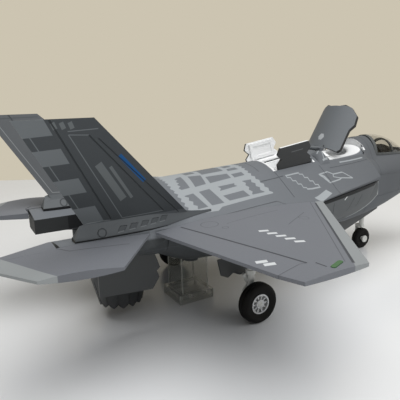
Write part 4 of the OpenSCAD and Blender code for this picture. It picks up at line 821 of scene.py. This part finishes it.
# Body, intakes and flying surfaces.
hull = hull_paint()
for node in ("lower_shell_front", "lower_shell_rear", "nose_cone", "tail_deck", *both("boom")):
    smoothed(node, hull)
# Painted shade: the gear doors are painted darker than the hull for the shade under the body.
gear_door = plain_paint("gear_door_shaded_enamel", tone(78, 81, 84))
for node in ("nose_gear_doors", *both("gear_door")):
    painted(node, gear_door)
intake = intake_paint()
for node in both("intake"):
    smoothed(node, intake)
spine = spine_paint()
smoothed("upper_shell", spine)
blisters(spine)
for piece, paint in (("wing", wing_paint()), ("tailplane", tail_paint()), ("fin", fin_paint())):
    for node in both(piece):
        smoothed(node, paint, PLATE_EDGE)

# Doors, wells and legs.
smoothed("fan_door", fan_door_paint())
inlet_door = inlet_door_paint()
for node in both("aux_door"):
    smoothed(node, inlet_door)
nozzle_door = plain_paint("door_dark", tone(66, 69, 71))
for node in both("nozzle_door"):
    painted(node, nozzle_door)
liner = plain_paint("liner_white", WHITE, drift=0.02)
for node in both("aux_liner"):
    painted(node, liner)
painted("aux_tray", well_paint("aux_well_enamel", station=106, half_s=12, half_y=11.5))
fan_well = well_paint("fan_well_enamel", station=FAN_S, half_s=13.5, half_y=8.1)
painted("fan_tray", fan_well)
fan_lip(fan_well)
painted("fan_duct", plain_paint("duct_grey", tone(92, 94, 96)))
leg = plain_paint("leg_plastic", OFF_WHITE, drift=0.03)
for node in (*both("main_leg"), "nose_leg"):
    painted(node, leg)

# Cockpit, fan, pins and nozzle.
black = plain_paint("cockpit_plastic", tone(20, 21, 22), drift=0.1, low=0.5, high=0.65, extra=MATT)
for node in ("cockpit_tub", "pilot_seat", "instrument_panel"):
    painted(node, black)
cockpit_hood(black)
smoothed("canopy_glass", clear_paint("canopy_smoke", tone(62, 57, 46), alpha=0.1, coat_weight=0.15))
smoothed("canopy_frame", plain_paint("canopy_frame_enamel", tone(76, 80, 82)))
painted("fan_rotor", plain_paint("rotor_metal", tone(84, 87, 90), metal=0.6))
steel = plain_paint("pin_steel", tone(200, 202, 204), low=0.25, high=0.35, metal=1.0)
for node in ("canopy_hinge_pin", "fan_door_pin", "aux_hinge_pins", "shell_screws"):
    painted(node, steel)
nozzle = plain_paint("nozzle_black", tone(37, 40, 42), drift=0.1)
for node in ("nozzle_front_duct", "nozzle_mid_duct", "nozzle_rear_duct", "engine_bearing"):
    smoothed(node, nozzle)

# Wheels, lights and stand.
tyre = plain_paint(
    "tyre_rubber", tone(15, 15, 16), drift=0.1, low=0.6, high=0.8, texture=0.04, extra=MATT)
hub = plain_paint("hub_silver", tone(198, 200, 203), low=0.3, high=0.4, metal=0.7)
for wheel in (*both("main"), "nose"):
    smoothed(wheel + "_tyre", tyre, ROUND_EDGE)
    painted(wheel + "_hub", black if wheel == "nose" else hub)
painted("left_nav_light", plain_paint("lens_red", tone(160, 26, 34), low=0.1, high=0.2))
painted("right_nav_light", plain_paint("lens_green", tone(50, 104, 58), low=0.1, high=0.2))
acrylic = clear_paint(
    "stand_acrylic", tone(150, 153, 142), alpha=0.22, coat_weight=0.6, edges=stand_edge_highlights)
painted("display_stand", acrylic)

# Table, light and camera.
table_top()
room(ambient=(0.055, 0.057, 0.06, 1.0), seen=tone(204, 196, 177))
lamp("ceiling_light", place=(0.04, -0.34, 0.85), aim=(0.0, 0.0, 0.0), size=1.25, power=12.8)
camera()
bpy.context.scene.view_settings.view_transform = "Standard"
